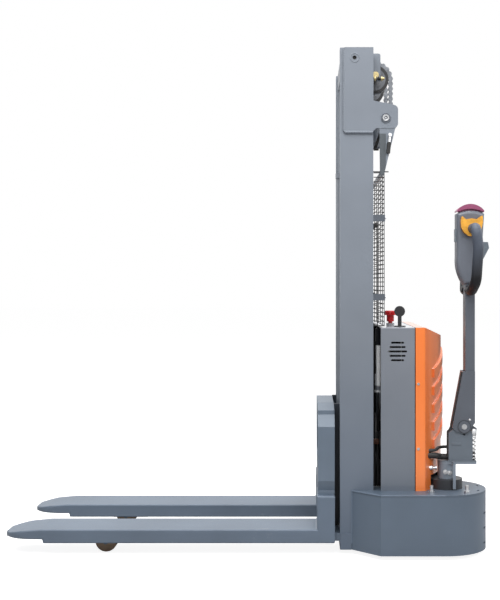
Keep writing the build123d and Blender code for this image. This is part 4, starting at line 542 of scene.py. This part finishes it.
# %% Spring
spring_low, spring_high = [Vector(corner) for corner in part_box("tiller_spring")]
spring_wire = 0.0025
spring_radius = (spring_high.y - spring_low.y) / 2 - spring_wire
spring_axis = Vector(((spring_low.x + spring_high.x) / 2, (spring_low.y + spring_high.y) / 2, 0))
end_turns = 1
free_turns = 5
end_clearance = 1.06
end_pitch = 2 * spring_wire * end_clearance
climb = spring_high.z - spring_low.z - 2 * spring_wire
free_pitch = (climb - 2 * end_turns * end_pitch) / free_turns
coil_steps = 24
spring_mesh = bmesh.new()
wire_start = Matrix.Translation(spring_axis + Vector((spring_radius, 0, spring_low.z + spring_wire)))
bmesh.ops.create_circle(spring_mesh, cap_ends=True, segments=10, radius=spring_wire,
                        matrix=wire_start @ Matrix.Rotation(math.radians(90), 4, "X"))
front = spring_mesh.faces[:]
for turns, pitch in ((end_turns, end_pitch), (free_turns, free_pitch), (end_turns, end_pitch)):
    wound = bmesh.ops.spin(spring_mesh, geom=front, cent=spring_axis, axis=(0, 0, 1),
                           angle=2 * math.pi * turns, dvec=(0, 0, pitch / coil_steps),
                           steps=turns * coil_steps)
    front = [item for item in wound["geom_last"] if isinstance(item, bmesh.types.BMFace)]
spring = add_piece("return_spring", spring_mesh, zinc_plate, "drive_turret", ("tiller_spring",))
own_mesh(spring)

# %% [markdown]
# ## Mesh guard
# The guard behind the mast is welded mesh in a round bar frame: wires across in front, fewer wires
# upright behind them, a wing on both sides bent towards the mast and a stiff tie wire on top. Each
# wire is a cone of equal radii, set along its own line.

# %% Rods


def rod(mesh, start, end, radius, sides=8):
    """Round bar from start to end, closed at both ends."""
    start, end = Vector(start), Vector(end)
    along = end - start
    turn = along.to_track_quat("Z", "Y").to_matrix().to_4x4()
    bmesh.ops.create_cone(mesh, cap_ends=True, segments=sides, radius1=radius, radius2=radius,
                          depth=along.length, matrix=Matrix.Translation((start + end) / 2) @ turn)


# %% Guard wires
guard_low, guard_high = [Vector(corner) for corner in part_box("mesh_guard")]
frame_bar = 0.0015
row_wire = 0.0014
guard_rows = 34
guard_columns = 4
guard_x = (guard_low.x + guard_high.x) / 2
side_y = guard_high.y - frame_bar
base_z = guard_low.z + frame_bar
lid_z = guard_high.z - frame_bar
guard_mesh = bmesh.new()
for y in (-side_y, side_y):
    rod(guard_mesh, (guard_x, y, guard_low.z), (guard_x, y, guard_high.z), frame_bar, sides=12)
for z in (base_z, lid_z):
    rod(guard_mesh, (guard_x, -side_y, z), (guard_x, side_y, z), frame_bar, sides=12)
row_pitch = (lid_z - base_z) / (guard_rows + 1)
row_heights = [base_z + row_pitch * (row + 1) for row in range(guard_rows)]
for z in row_heights:
    rod(guard_mesh, (guard_x - row_wire, -side_y, z), (guard_x - row_wire, side_y, z), row_wire)
column_pitch = 2 * side_y / (guard_columns + 1)
for column in range(guard_columns):
    y = -side_y + column_pitch * (column + 1)
    rod(guard_mesh, (guard_x + row_wire, y, base_z), (guard_x + row_wire, y, lid_z), row_wire)
print("guard rows:", guard_rows, "columns:", guard_columns)

# %% Guard wings
wing_front_x = 0.4628
wing_wire = 0.0017
wing_post_x, wing_post_z = 0.4768, 1.21
tie_y, tie_z = -0.2965, 1.4015
tie_start_x, tie_end_x, tie_wire = 0.4605, 0.517, 0.0022
for y in (-side_y, side_y):
    for z in [base_z] + row_heights + [lid_z]:
        rod(guard_mesh, (wing_front_x, y, z), (guard_x + wing_wire, y, z), wing_wire)
    rod(guard_mesh, (wing_post_x, y, base_z), (wing_post_x, y, wing_post_z), wing_wire)
rod(guard_mesh, (tie_start_x, tie_y, tie_z), (tie_end_x, tie_y, tie_z), tie_wire)
add_piece("guard_wires", guard_mesh, guard_wire, "chassis", ("mesh_guard",))

# %% [markdown]
# ## Lift chains
# Two leaf chains run from an anchor on the mast head, over the pulleys on the inner mast and down to
# the carriage. A leaf chain is stacked plates with a waist, laced on pins, so one plate outline is
# drawn and repeated from pin to pin along the path.

# %% Chain path
pulley_x, pulley_z = 0.474, 1.77
chain_radius = 0.0628
rear_foot_z = 1.64
front_foot_z = 0.488
chain_y = 0.125
rear_length = pulley_z - rear_foot_z
wrap_length = math.pi * chain_radius
front_length = pulley_z - front_foot_z
path_length = rear_length + wrap_length + front_length
usual_pitch = 0.01905
link_count = round(path_length / usual_pitch)
link_pitch = path_length / link_count


def chain_point(run):
    """Place on the chain's middle line, measured from the rear anchor."""
    if run < rear_length:
        return Vector((pulley_x + chain_radius, 0, rear_foot_z + run))
    turn = (run - rear_length) / chain_radius
    if turn < math.pi:
        return Vector((pulley_x + chain_radius * math.cos(turn), 0, pulley_z + chain_radius * math.sin(turn)))
    return Vector((pulley_x - chain_radius, 0, pulley_z - (run - rear_length - wrap_length)))


# %% Chain links
plate_reach = {"rear": 0.0094, "wrap": 0.0094, "front": 0.0074}
plate_waist = 0.0056
plate_thick = 0.0024
plate_gap = 0.0026
pin_radius = 0.0038
pin_half = 0.0068
end_steps = 6


def plate(mesh, first, last, y, reach):
    """Waisted link plate between two pins."""
    along = (last - first).normalized()
    across = Vector((-along.z, 0, along.x))
    outline = []
    for pin, way in ((last, 1), (first, -1)):
        for step in range(end_steps + 1):
            turn = math.pi * (step / end_steps - 0.5)
            outline.append(pin + way * reach * (along * math.cos(turn) + across * math.sin(turn)))
        outline.append((first + last) / 2 + way * across * plate_waist)
    corners = [mesh.verts.new(point + Vector((0, y - plate_thick / 2, 0))) for point in outline]
    grown = bmesh.ops.extrude_face_region(mesh, geom=[mesh.faces.new(corners)])["geom"]
    bmesh.ops.translate(mesh, vec=(0, plate_thick, 0),
                        verts=[item for item in grown if isinstance(item, bmesh.types.BMVert)])


chain_meshes = {"rear": bmesh.new(), "wrap": bmesh.new(), "front": bmesh.new()}
outer_rows = (-2, 0, 2)
inner_rows = (-1, 1)
for side in (-1, 1):
    for link in range(link_count):
        middle = (link + 0.5) * link_pitch
        if middle < rear_length:
            stretch = "rear"
        elif middle < rear_length + wrap_length:
            stretch = "wrap"
        else:
            stretch = "front"
        mesh = chain_meshes[stretch]
        first, last = chain_point(link * link_pitch), chain_point((link + 1) * link_pitch)
        for row in outer_rows if link % 2 else inner_rows:
            plate(mesh, first, last, side * chain_y + row * plate_gap, plate_reach[stretch])
        pin_start = first + Vector((0, side * chain_y - pin_half, 0))
        rod(mesh, pin_start, pin_start + Vector((0, 2 * pin_half, 0)), pin_radius)
print("links in each chain:", link_count, "pitch:", round(link_pitch * 1000, 2), "mm")

# %% [markdown]
# When the mast rises, the front run shortens and the rear run grows. The short rear run of links rises
# with the pulley, and a slim plain strip, fixed to the anchor below, stands for the links that follow.

# %% Chain pieces
add_piece("chain_rear_links", chain_meshes["rear"], chain_steel, "inner_mast",
          ("chain_rear_runs",))
add_piece("chain_wrap_links", chain_meshes["wrap"], chain_steel, "inner_mast",
          ("chain_wraps",))
front_links = add_piece("chain_front_links", chain_meshes["front"], chain_steel, "inner_mast",
                        ("chain_front_runs",))
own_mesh(front_links)

# %% Rear strip
strip_half_depth = 0.0042
strip_half_width = 0.0058
strip_rings = 40
strip_mesh = bmesh.new()
for side in (-1, 1):
    corner = Vector((pulley_x + chain_radius, side * chain_y, rear_foot_z))
    outline = [corner + Vector((strip_half_depth * x, strip_half_width * y, 0))
               for x, y in ((-1, -1), (1, -1), (1, 1), (-1, 1))]
    front = [strip_mesh.faces.new([strip_mesh.verts.new(point) for point in outline])]
    for ring in range(strip_rings):
        grown = bmesh.ops.extrude_face_region(strip_mesh, geom=front)["geom"]
        front = [item for item in grown if isinstance(item, bmesh.types.BMFace)]
        bmesh.ops.translate(strip_mesh, vec=(0, 0, rear_length / strip_rings),
                            verts=[item for item in grown if isinstance(item, bmesh.types.BMVert)])
strip = add_piece("chain_rear_strips", strip_mesh, chain_steel)
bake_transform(strip)

# %% [markdown]
# ## Fasteners and turned pieces
# Bolts, washers, bushes and rings are all turned on a lathe, so one helper spins a profile of radius
# and height once round an axis. The profile is drawn as points, and the seam is merged.

# %% Turned pieces
seam_merge = 0.00002
hexagon_round = 0.08


def turned(mesh, profile, place, axis, steps=28, ring=False):
    """Spin a profile of (radius, height) once round an axis; a ring's profile closes on itself."""
    place, axis = Vector(place), Vector(axis).normalized()
    side = axis.orthogonal().normalized()
    points = [mesh.verts.new(place + side * radius + axis * height) for radius, height in profile]
    pairs = list(zip(points, points[1:])) + ([(points[-1], points[0])] if ring else [])
    edges = [mesh.edges.new(pair) for pair in pairs]
    bmesh.ops.spin(mesh, geom=points + edges, cent=place, axis=axis, angle=2 * math.pi, steps=steps,
                   use_merge=True)
    bmesh.ops.remove_doubles(mesh, verts=mesh.verts, dist=seam_merge)


def hexagon(mesh, place, axis, radius, height):
    """Hexagon nut or bolt head with softened edges, standing on a face."""
    axis = Vector(axis).normalized()
    turn = axis.to_track_quat("Z", "Y").to_matrix().to_4x4()
    middle = Matrix.Translation(Vector(place) + axis * height / 2)
    made = bmesh.ops.create_cone(mesh, cap_ends=True, segments=6, radius1=radius, radius2=radius,
                                 depth=height, matrix=middle @ turn)
    edges = {edge for vert in made["verts"] for edge in vert.link_edges}
    bmesh.ops.bevel(mesh, geom=list(edges), offset=radius * hexagon_round, segments=2, profile=0.5,
                    affect="EDGES", material=-1)


def lathe_piece(name, profile, place, axis, material, slot, body, **spin):
    """One turned profile as a piece of its own."""
    mesh = bmesh.new()
    turned(mesh, profile, place, axis, **spin)
    add_piece(name, mesh, material, body)


# %% [markdown]
# The mast head has a sling bore with a rim round it, and a bolt with a hollow end through the rearward
# bulge, on a washer painted darker than the mast as painted shade round the bolt. A black plug with a
# flange closes the bore: painted shade, for the dark inside where the inner mast stands behind.

# %% Mast head fittings
head_face_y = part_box("mast_head_frame")[1][1]
plate_face_y = 0.308
sling_x, sling_z = 0.392, 1.818
bulge_x, bulge_z = 0.506, 1.597
rim_profile = [(0.0135, 0), (0.014, 0.0014), (0.0158, 0.002), (0.0176, 0.0014), (0.0181, 0)]
bore_shade_profile = [(0, -0.0075), (0.0058, -0.0075), (0.0058, -0.0004), (0.0073, -0.0004),
                (0.0073, -0.009), (0, -0.009)]
washer_profile = [(0.0125, 0), (0.0125, 0.0012), (0.0168, 0.0012), (0.0174, 0)]
collar_profile = [(0.0062, 0), (0.0062, 0.0034), (0.0078, 0.0048), (0.0112, 0.0048),
                  (0.0124, 0.0032), (0.0124, 0)]
core_profile = [(0, 0), (0.0036, 0), (0.0036, 0.003), (0.0026, 0.004), (0, 0.004)]
rim_mesh, bore_shade_mesh, shade_washer_mesh, bolt_mesh = [bmesh.new() for _ in range(4)]
for side in (-1, 1):
    away = (0, side, 0)
    sling = (sling_x, side * plate_face_y, sling_z)
    bulge = (bulge_x, side * head_face_y, bulge_z)
    turned(rim_mesh, rim_profile, sling, away, ring=True)
    turned(bore_shade_mesh, bore_shade_profile, sling, away)
    turned(shade_washer_mesh, washer_profile, bulge, away, ring=True)
    turned(bolt_mesh, collar_profile, bulge, away, ring=True)
    turned(bolt_mesh, core_profile, bulge, away)
add_piece("sling_rims", rim_mesh, mast_grey, "chassis")
# The black plug in each sling bore is painted shade for the dark inside of the bore.
add_piece("sling_bore_shades", bore_shade_mesh, hose_rubber, "chassis")
# The washers under the bulge bolts take the darker tiller grey as painted shade round each bolt.
add_piece("bulge_shade_washers", shade_washer_mesh, tiller_grey, "chassis")
add_piece("bulge_bolts", bolt_mesh, zinc_plate, "chassis")

# %% [markdown]
# The head plate is welded to the channel along its front and lower edges, and finer beads join the
# skirt to the mast's foot, to the legs and to the deck. A weld bead is a row of overlapping ripples,
# so a round bar is extruded ring by ring and its radius swells and shrinks.

# %% Weld beads
rings_per_ripple = 3
ripple_low = 0.8


def weld(mesh, start, end, radius, ripple=0.006, sides=8):
    """Rippled bead from start to end."""
    start, end = Vector(start), Vector(end)
    along = (end - start).normalized()
    count = max(4, round((end - start).length / (ripple / rings_per_ripple)))
    turn = along.to_track_quat("Z", "Y").to_matrix().to_4x4()
    made = bmesh.ops.create_circle(mesh, cap_ends=True, segments=sides, radius=radius * ripple_low,
                                   matrix=Matrix.Translation(start) @ turn)
    front = [face for vert in made["verts"][:1] for face in vert.link_faces]
    for step in range(1, count + 1):
        grown = bmesh.ops.extrude_face_region(mesh, geom=front)["geom"]
        front = [item for item in grown if isinstance(item, bmesh.types.BMFace)]
        ring = [item for item in grown if isinstance(item, bmesh.types.BMVert)]
        centre = start + (end - start) * step / count
        size = radius * (1.0 if step % rings_per_ripple else ripple_low)
        for vert in ring:
            spoke = vert.co - start - (end - start) * (step - 1) / count
            vert.co = centre + spoke.normalized() * size


# %% Head welds
weld_mesh = bmesh.new()
head_bead_y = 0.3045
front_x, front_low_z, front_top_z, front_bead = 0.3535, 1.548, 1.85, 0.0042
under_z, under_start_x, under_end_x, under_bead = 1.546, 0.355, 0.46, 0.0062
for bead_y in (-head_bead_y, head_bead_y):
    weld(weld_mesh, (front_x, bead_y, front_low_z), (front_x, bead_y, front_top_z), front_bead)
    weld(weld_mesh, (under_start_x, bead_y, under_z), (under_end_x, bead_y, under_z), under_bead)
add_piece("head_welds", weld_mesh, mast_grey, "chassis")

# %% Skirt welds
skirt_mesh = bmesh.new()
flare_x, corner_x, lobe_start_x, deck_z = 0.382, 0.482, 0.716, 0.2335
foot_y, foot_low_z, foot_top_z = 0.3005, 0.04, 0.234
deck_start_y, deck_side_y = 0.2995, 0.3985
leg_y, leg_z, leg_start_x, leg_end_x = 0.3, 0.075, 0.342, 0.38
wide_bead, fine_bead = 0.0034, 0.0026
for side in (-1, 1):
    weld(skirt_mesh, (flare_x, side * foot_y, foot_low_z), (flare_x, side * foot_y, foot_top_z), wide_bead)
    weld(skirt_mesh, (flare_x, side * deck_start_y, deck_z), (corner_x, side * deck_side_y, deck_z),
         wide_bead)
    weld(skirt_mesh, (leg_start_x, side * leg_y, leg_z), (leg_end_x, side * leg_y, leg_z), fine_bead)
weld(skirt_mesh, (corner_x, -deck_side_y, deck_z), (lobe_start_x, -deck_side_y, deck_z), fine_bead)
add_piece("skirt_welds", skirt_mesh, fork_grey, "chassis")

# %% [markdown]
# The chain pulleys have a dark rim and a nut on each end of their shaft. A brass fitting with two
# hexagons lies across the near end.

# %% Pulley rims and nuts
pulley_rim_mesh = bmesh.new()
pulley_rim_profile = [(0.0432, 0), (0.0437, 0.0008), (0.0542, 0.0008), (0.0547, 0)]
pulley_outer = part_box("chain_pulleys")[1][1]
pulley_inner = 2 * chain_y - pulley_outer
for side in (-1, 1):
    for face, way in ((side * pulley_outer, side), (side * pulley_inner, -side)):
        turned(pulley_rim_mesh, pulley_rim_profile, (pulley_x, face, pulley_z), (0, way, 0), steps=40,
               ring=True)
add_piece("pulley_rims", pulley_rim_mesh, black_enamel, "pulleys")
nut_mesh = bmesh.new()
nut_radius, nut_height, nut_inset = 0.0125, 0.009, 0.012
nut_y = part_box("pulley_shaft")[1][1] - nut_inset
for side in (-1, 1):
    hexagon(nut_mesh, (pulley_x, side * nut_y, pulley_z), (0, side, 0), nut_radius, nut_height)
add_piece("shaft_nuts", nut_mesh, pin_brass, "inner_mast")

# %% Grease fitting
fitting_mesh = bmesh.new()
rearwards = (1, 0, 0)
fitting_y, fitting_z = -0.2375, 1.754
fitting_hex_height = 0.008
for hex_x, hex_radius in ((0.4665, 0.0088), (0.492, 0.0082)):
    hexagon(fitting_mesh, (hex_x, fitting_y, fitting_z), rearwards, hex_radius, fitting_hex_height)
nipple_x = 0.4995
nipple_profile = [(0, 0), (0.004, 0), (0.0052, 0.002), (0.0052, 0.0045), (0.003, 0.0065), (0, 0.0065)]
turned(fitting_mesh, nipple_profile, (nipple_x, fitting_y, fitting_z), rearwards, steps=16)
add_piece("grease_fitting", fitting_mesh, pin_brass, "inner_mast")
body_x = 0.4742
body_profile = [(0, 0), (0.0062, 0), (0.0062, 0.006), (0.005, 0.008), (0.0062, 0.01),
                (0.0062, 0.018), (0, 0.018)]
lathe_piece("fitting_body", body_profile, (body_x, fitting_y, fitting_z), rearwards, black_enamel,
            "black_paint", "inner_mast", steps=20)

# %% [markdown]
# ## Guard fittings
# Each clamp of the guard has a small bolt. A bolt with a black sleeve hangs on the tapered plate
# under the mast head. They are turned pieces and hexagons again.

# %% Guard fittings
clamp_mesh = bmesh.new()
clamp_face_x, clamp_y, clamp_hex, clamp_hex_height = 0.5039, 0.294, 0.0042, 0.0035
thread_start_x, thread_end_x, thread_radius = 0.506, 0.5115, 0.002
for clamp_z in (0.942, 1.232):
    for y in (-clamp_y, clamp_y):
        hexagon(clamp_mesh, (clamp_face_x, y, clamp_z), rearwards, clamp_hex, clamp_hex_height)
        rod(clamp_mesh, (thread_start_x, y, clamp_z), (thread_end_x, y, clamp_z), thread_radius)
add_piece("clamp_bolts", clamp_mesh, zinc_plate, "chassis")
stop_y = -0.3137
stop_axis = (0.1, 0, 1)
stop_profile = [(0, 0), (0.005, 0), (0.005, 0.02), (0.0072, 0.021), (0.0072, 0.03),
                (0.0058, 0.032), (0, 0.032)]
lathe_piece("stop_bolt", stop_profile, (0.518, stop_y, 1.508), stop_axis, zinc_plate, "zinc", "chassis")
sleeve_profile = [(0, 0), (0.0062, 0), (0.0074, 0.0014), (0.0074, 0.04), (0.0062, 0.0414), (0, 0.0414)]
lathe_piece("stop_sleeve", sleeve_profile, (0.514, stop_y, 1.4668), stop_axis, hose_rubber, "hose_rubber",
            "chassis")

# %% [markdown]
# ## Tiller fittings
# A zinc cup seats the return spring under the tiller's lug, and a black guide stands inside its coils.
# Bright nuts clamp the column, a screw locks the arm, a thin black ring round the pivot is painted
# shade for the shadow line round its boss, and a blank rating plate sits on the yoke. Rating plates
# are thin stamped metal.

# %% Spring seats
upwards = (0, 0, 1)
cup_gap = 0.0008
cup_profile = [(0, 0), (0.0134, 0), (0.0145, 0.0015), (0.0145, 0.019), (0.012, 0.0265), (0, 0.027)]
lathe_piece("spring_cup", cup_profile, (*spring_axis.xy, spring_high.z + cup_gap), upwards, zinc_plate,
            "zinc", "tiller")
guide_profile = [(0, 0), (0.0088, 0), (0.0088, 0.033), (0.007, 0.036), (0, 0.036)]
lathe_piece("spring_guide", guide_profile, (*spring_axis.xy, spring_low.z), upwards, black_enamel,
            "black_paint", "drive_turret")

# %% Column nuts
outwards = (0, -1, 0)
column_mesh = bmesh.new()
column_y = -0.2665
washer_y = column_y + 0.001
column_hex, column_hex_height = 0.0066, 0.005
bolt_end_y, bolt_radius = column_y - 0.008, 0.0034
nut_washer_profile = [(0, 0), (0.0088, 0), (0.0088, 0.0014), (0, 0.0014)]
for nut_x, nut_z in ((0.729, 0.2965), (0.7455, 0.293)):
    turned(column_mesh, nut_washer_profile, (nut_x, washer_y, nut_z), outwards)
    hexagon(column_mesh, (nut_x, column_y, nut_z), outwards, column_hex, column_hex_height)
    rod(column_mesh, (nut_x, column_y, nut_z), (nut_x, bolt_end_y, nut_z), bolt_radius)
add_piece("column_nuts", column_mesh, zinc_plate, "drive_turret")

# %% Lock screw and pivot shade ring
gusset_face_y = -0.2715
screw_profile = [(0, -0.0005), (0.0046, -0.0005), (0.0046, 0.0008), (0.0032, 0.0022), (0, 0.0026)]
lathe_piece("lock_screw", screw_profile, (0.8186, gusset_face_y, 0.489), outwards, zinc_plate, "zinc",
            "tiller")
arm_face_y = -0.2735
# The thin near-black ring round the pivot is painted shade: the shadow line round the pivot's boss.
shade_ring_profile = [(0.0222, -0.0004), (0.0222, 0.0005), (0.0238, 0.0005), (0.024, -0.0004)]
lathe_piece("pivot_shade_ring", shade_ring_profile, (0.798, arm_face_y, 0.464), outwards, drum_enamel, "black_paint",
            "tiller", ring=True)

# %% Blocks


def block(mesh, centre, size, corner, lean=0.0):
    """Rectangular block with rounded edges, leant about the Y axis."""
    place = Matrix.Translation(centre) @ Matrix.Rotation(lean, 4, "Y") @ Matrix.Diagonal((*size, 1))
    made = bmesh.ops.create_cube(mesh, size=1, matrix=place)
    edges = {edge for vert in made["verts"] for edge in vert.link_edges}
    bmesh.ops.bevel(mesh, geom=list(edges), offset=corner, segments=2, profile=0.5, affect="EDGES",
                    material=-1)


# %% Blank plate
plate_mesh = bmesh.new()
yoke_face_y = -0.265
plate_sink, rivet_lift, plate_corner = 0.0004, 0.001, 0.0005
plate_x, plate_z = 0.7693, 0.4003
block(plate_mesh, (plate_x, yoke_face_y - plate_sink, plate_z), (0.0345, 0.0016, 0.0125), plate_corner)
rivet_profile = [(0, 0), (0.0014, 0), (0.0014, 0.0006), (0.0008, 0.0012), (0, 0.0013)]
for rivet_x in (0.7548, 0.7838):
    turned(plate_mesh, rivet_profile, (rivet_x, yoke_face_y - rivet_lift, plate_z), outwards, steps=12)
add_piece("blank_plate", plate_mesh, yoke_grey, "drive_turret")

# %% [markdown]
# A bright clamp bolt stands out of the orange cover beside the column. It is one profile on the lathe.

# %% Cover bolt
cover_bolt_profile = [(0, 0), (0.0085, 0), (0.0085, 0.01), (0.0068, 0.012), (0.0045, 0.013),
                      (0.0045, 0.0215), (0.007, 0.022), (0.007, 0.0275), (0, 0.0275)]
lathe_piece("cover_bolt", cover_bolt_profile, (0.669, -0.27, 0.3125), rearwards, zinc_plate, "zinc",
            "chassis")

# %% [markdown]
# The tiller's cable is clipped to the front edge of the arm and runs on down the front of the yoke, and
# bends at the pivot.

# %% Tiller cable
arm_cable_radius = 0.0034
arm_route = [(0.737, -0.2625, 0.352), (0.737, -0.2625, 0.4), (0.737, -0.2625, 0.442),
             (0.75, -0.265, 0.464), (0.7577, -0.2675, 0.5), (0.7886, -0.2675, 0.665)]
arm_cable = add_piece("tiller_cable", route_tube(arm_route, arm_cable_radius), hose_rubber)
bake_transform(arm_cable)

# %% [markdown]
# ## Softened edges
# Forks and carriage are rolled steel without knife edges: a small round catches the light along every
# long edge. The triangles of a solid are loose, so a weld modifier joins them first, and a bevel then
# rounds each edge that turns sharply.

# %% Soft edges
fork_round, carriage_round = 0.005, 0.001
join_distance = 0.00001
sharp_turn = math.radians(50)
for name, width in (("fork_near", fork_round), ("fork_far", fork_round), ("carriage_frame", carriage_round)):
    joined = nodes[name].modifiers.new("joined", "WELD")
    joined.merge_threshold = join_distance
    soft = nodes[name].modifiers.new("soft_edge", "BEVEL")
    soft.width = width
    soft.segments = 3
    soft.use_clamp_overlap = False
    soft.limit_method = "ANGLE"
    soft.angle_limit = sharp_turn
print("soft edges:", sum(1 for node in nodes.values() if node.modifiers))

# %% [markdown]
# ## Behind the mast
# The slot between mast and housing shows the leads of the pump motor: a thin wire down its bright case,
# a brown terminal block and black battery leads below it. Under the mast head hangs the black lever
# of the lift limit switch, and a black spacer sits under the upper guard clamp.

# %% Leads
lead_y = -0.21
lead_runs = (
    (0.0021, [(0.4735, 0.776), (0.4735, 0.735), (0.4741, 0.69), (0.4738, 0.655)]),
    (0.0022, [(0.485, 0.585), (0.485, 0.52), (0.4838, 0.46), (0.4842, 0.405)]),
    (0.0064, [(0.4705, 0.395), (0.469, 0.34), (0.4715, 0.285), (0.47, 0.236)]),
    (0.006, [(0.483, 0.395), (0.4818, 0.345), (0.4835, 0.29), (0.4822, 0.236)]),
)
for number, (radius, run) in enumerate(lead_runs, 1):
    route = [(x, lead_y, z) for x, z in run]
    add_piece(f"motor_lead_{number}", route_tube(route, radius), hose_rubber, "chassis")

# %% Terminal block
small_corner = 0.0015
terminal_mesh = bmesh.new()
terminal_x, terminal_z = 0.4765, 0.4015
block(terminal_mesh, (terminal_x, lead_y, terminal_z), (0.02, 0.024, 0.019), small_corner)
post_y = lead_y - 0.0118
post_profile = [(0, 0), (0.003, 0), (0.003, 0.003), (0.002, 0.004), (0, 0.004)]
for post_x in (0.471, 0.482):
    turned(terminal_mesh, post_profile, (post_x, post_y, terminal_z), outwards, steps=14)
terminal_brown = finish("terminal_brown", (92, 56, 36), 0.5, patch=30.0, grain=1800.0)
add_piece("terminal_block", terminal_mesh, terminal_brown, "chassis")

# %% Limit switch lever
lever_mesh = bmesh.new()
lever_y, spacer_y = -0.226, -0.294
lever_lean = math.radians(20)
block(lever_mesh, (0.4835, lever_y, 1.529), (0.011, 0.006, 0.082), small_corner, lean=lever_lean)
block(lever_mesh, (0.476, lever_y, 1.492), (0.019, 0.014, 0.008), small_corner)
block(lever_mesh, (0.4714, spacer_y, 1.207), (0.014, 0.008, 0.018), small_corner)
add_piece("limit_lever", lever_mesh, black_enamel, "chassis")

# %% [markdown]
# Two flat rubber stops on the support legs are a guess: the slit under the lowered carriage is dark in
# the photograph, and a carriage usually comes down on such stops.

# %% Bump stops
stops_mesh = bmesh.new()
stops_x, stops_y, stops_z, stops_corner = 0.33, 0.16, 0.0814, 0.0012
for side in (-1, 1):
    block(stops_mesh, (stops_x, side * stops_y, stops_z), (0.02, 0.018, 0.0066), stops_corner)
add_piece("bump_stops", stops_mesh, hose_rubber, "chassis")
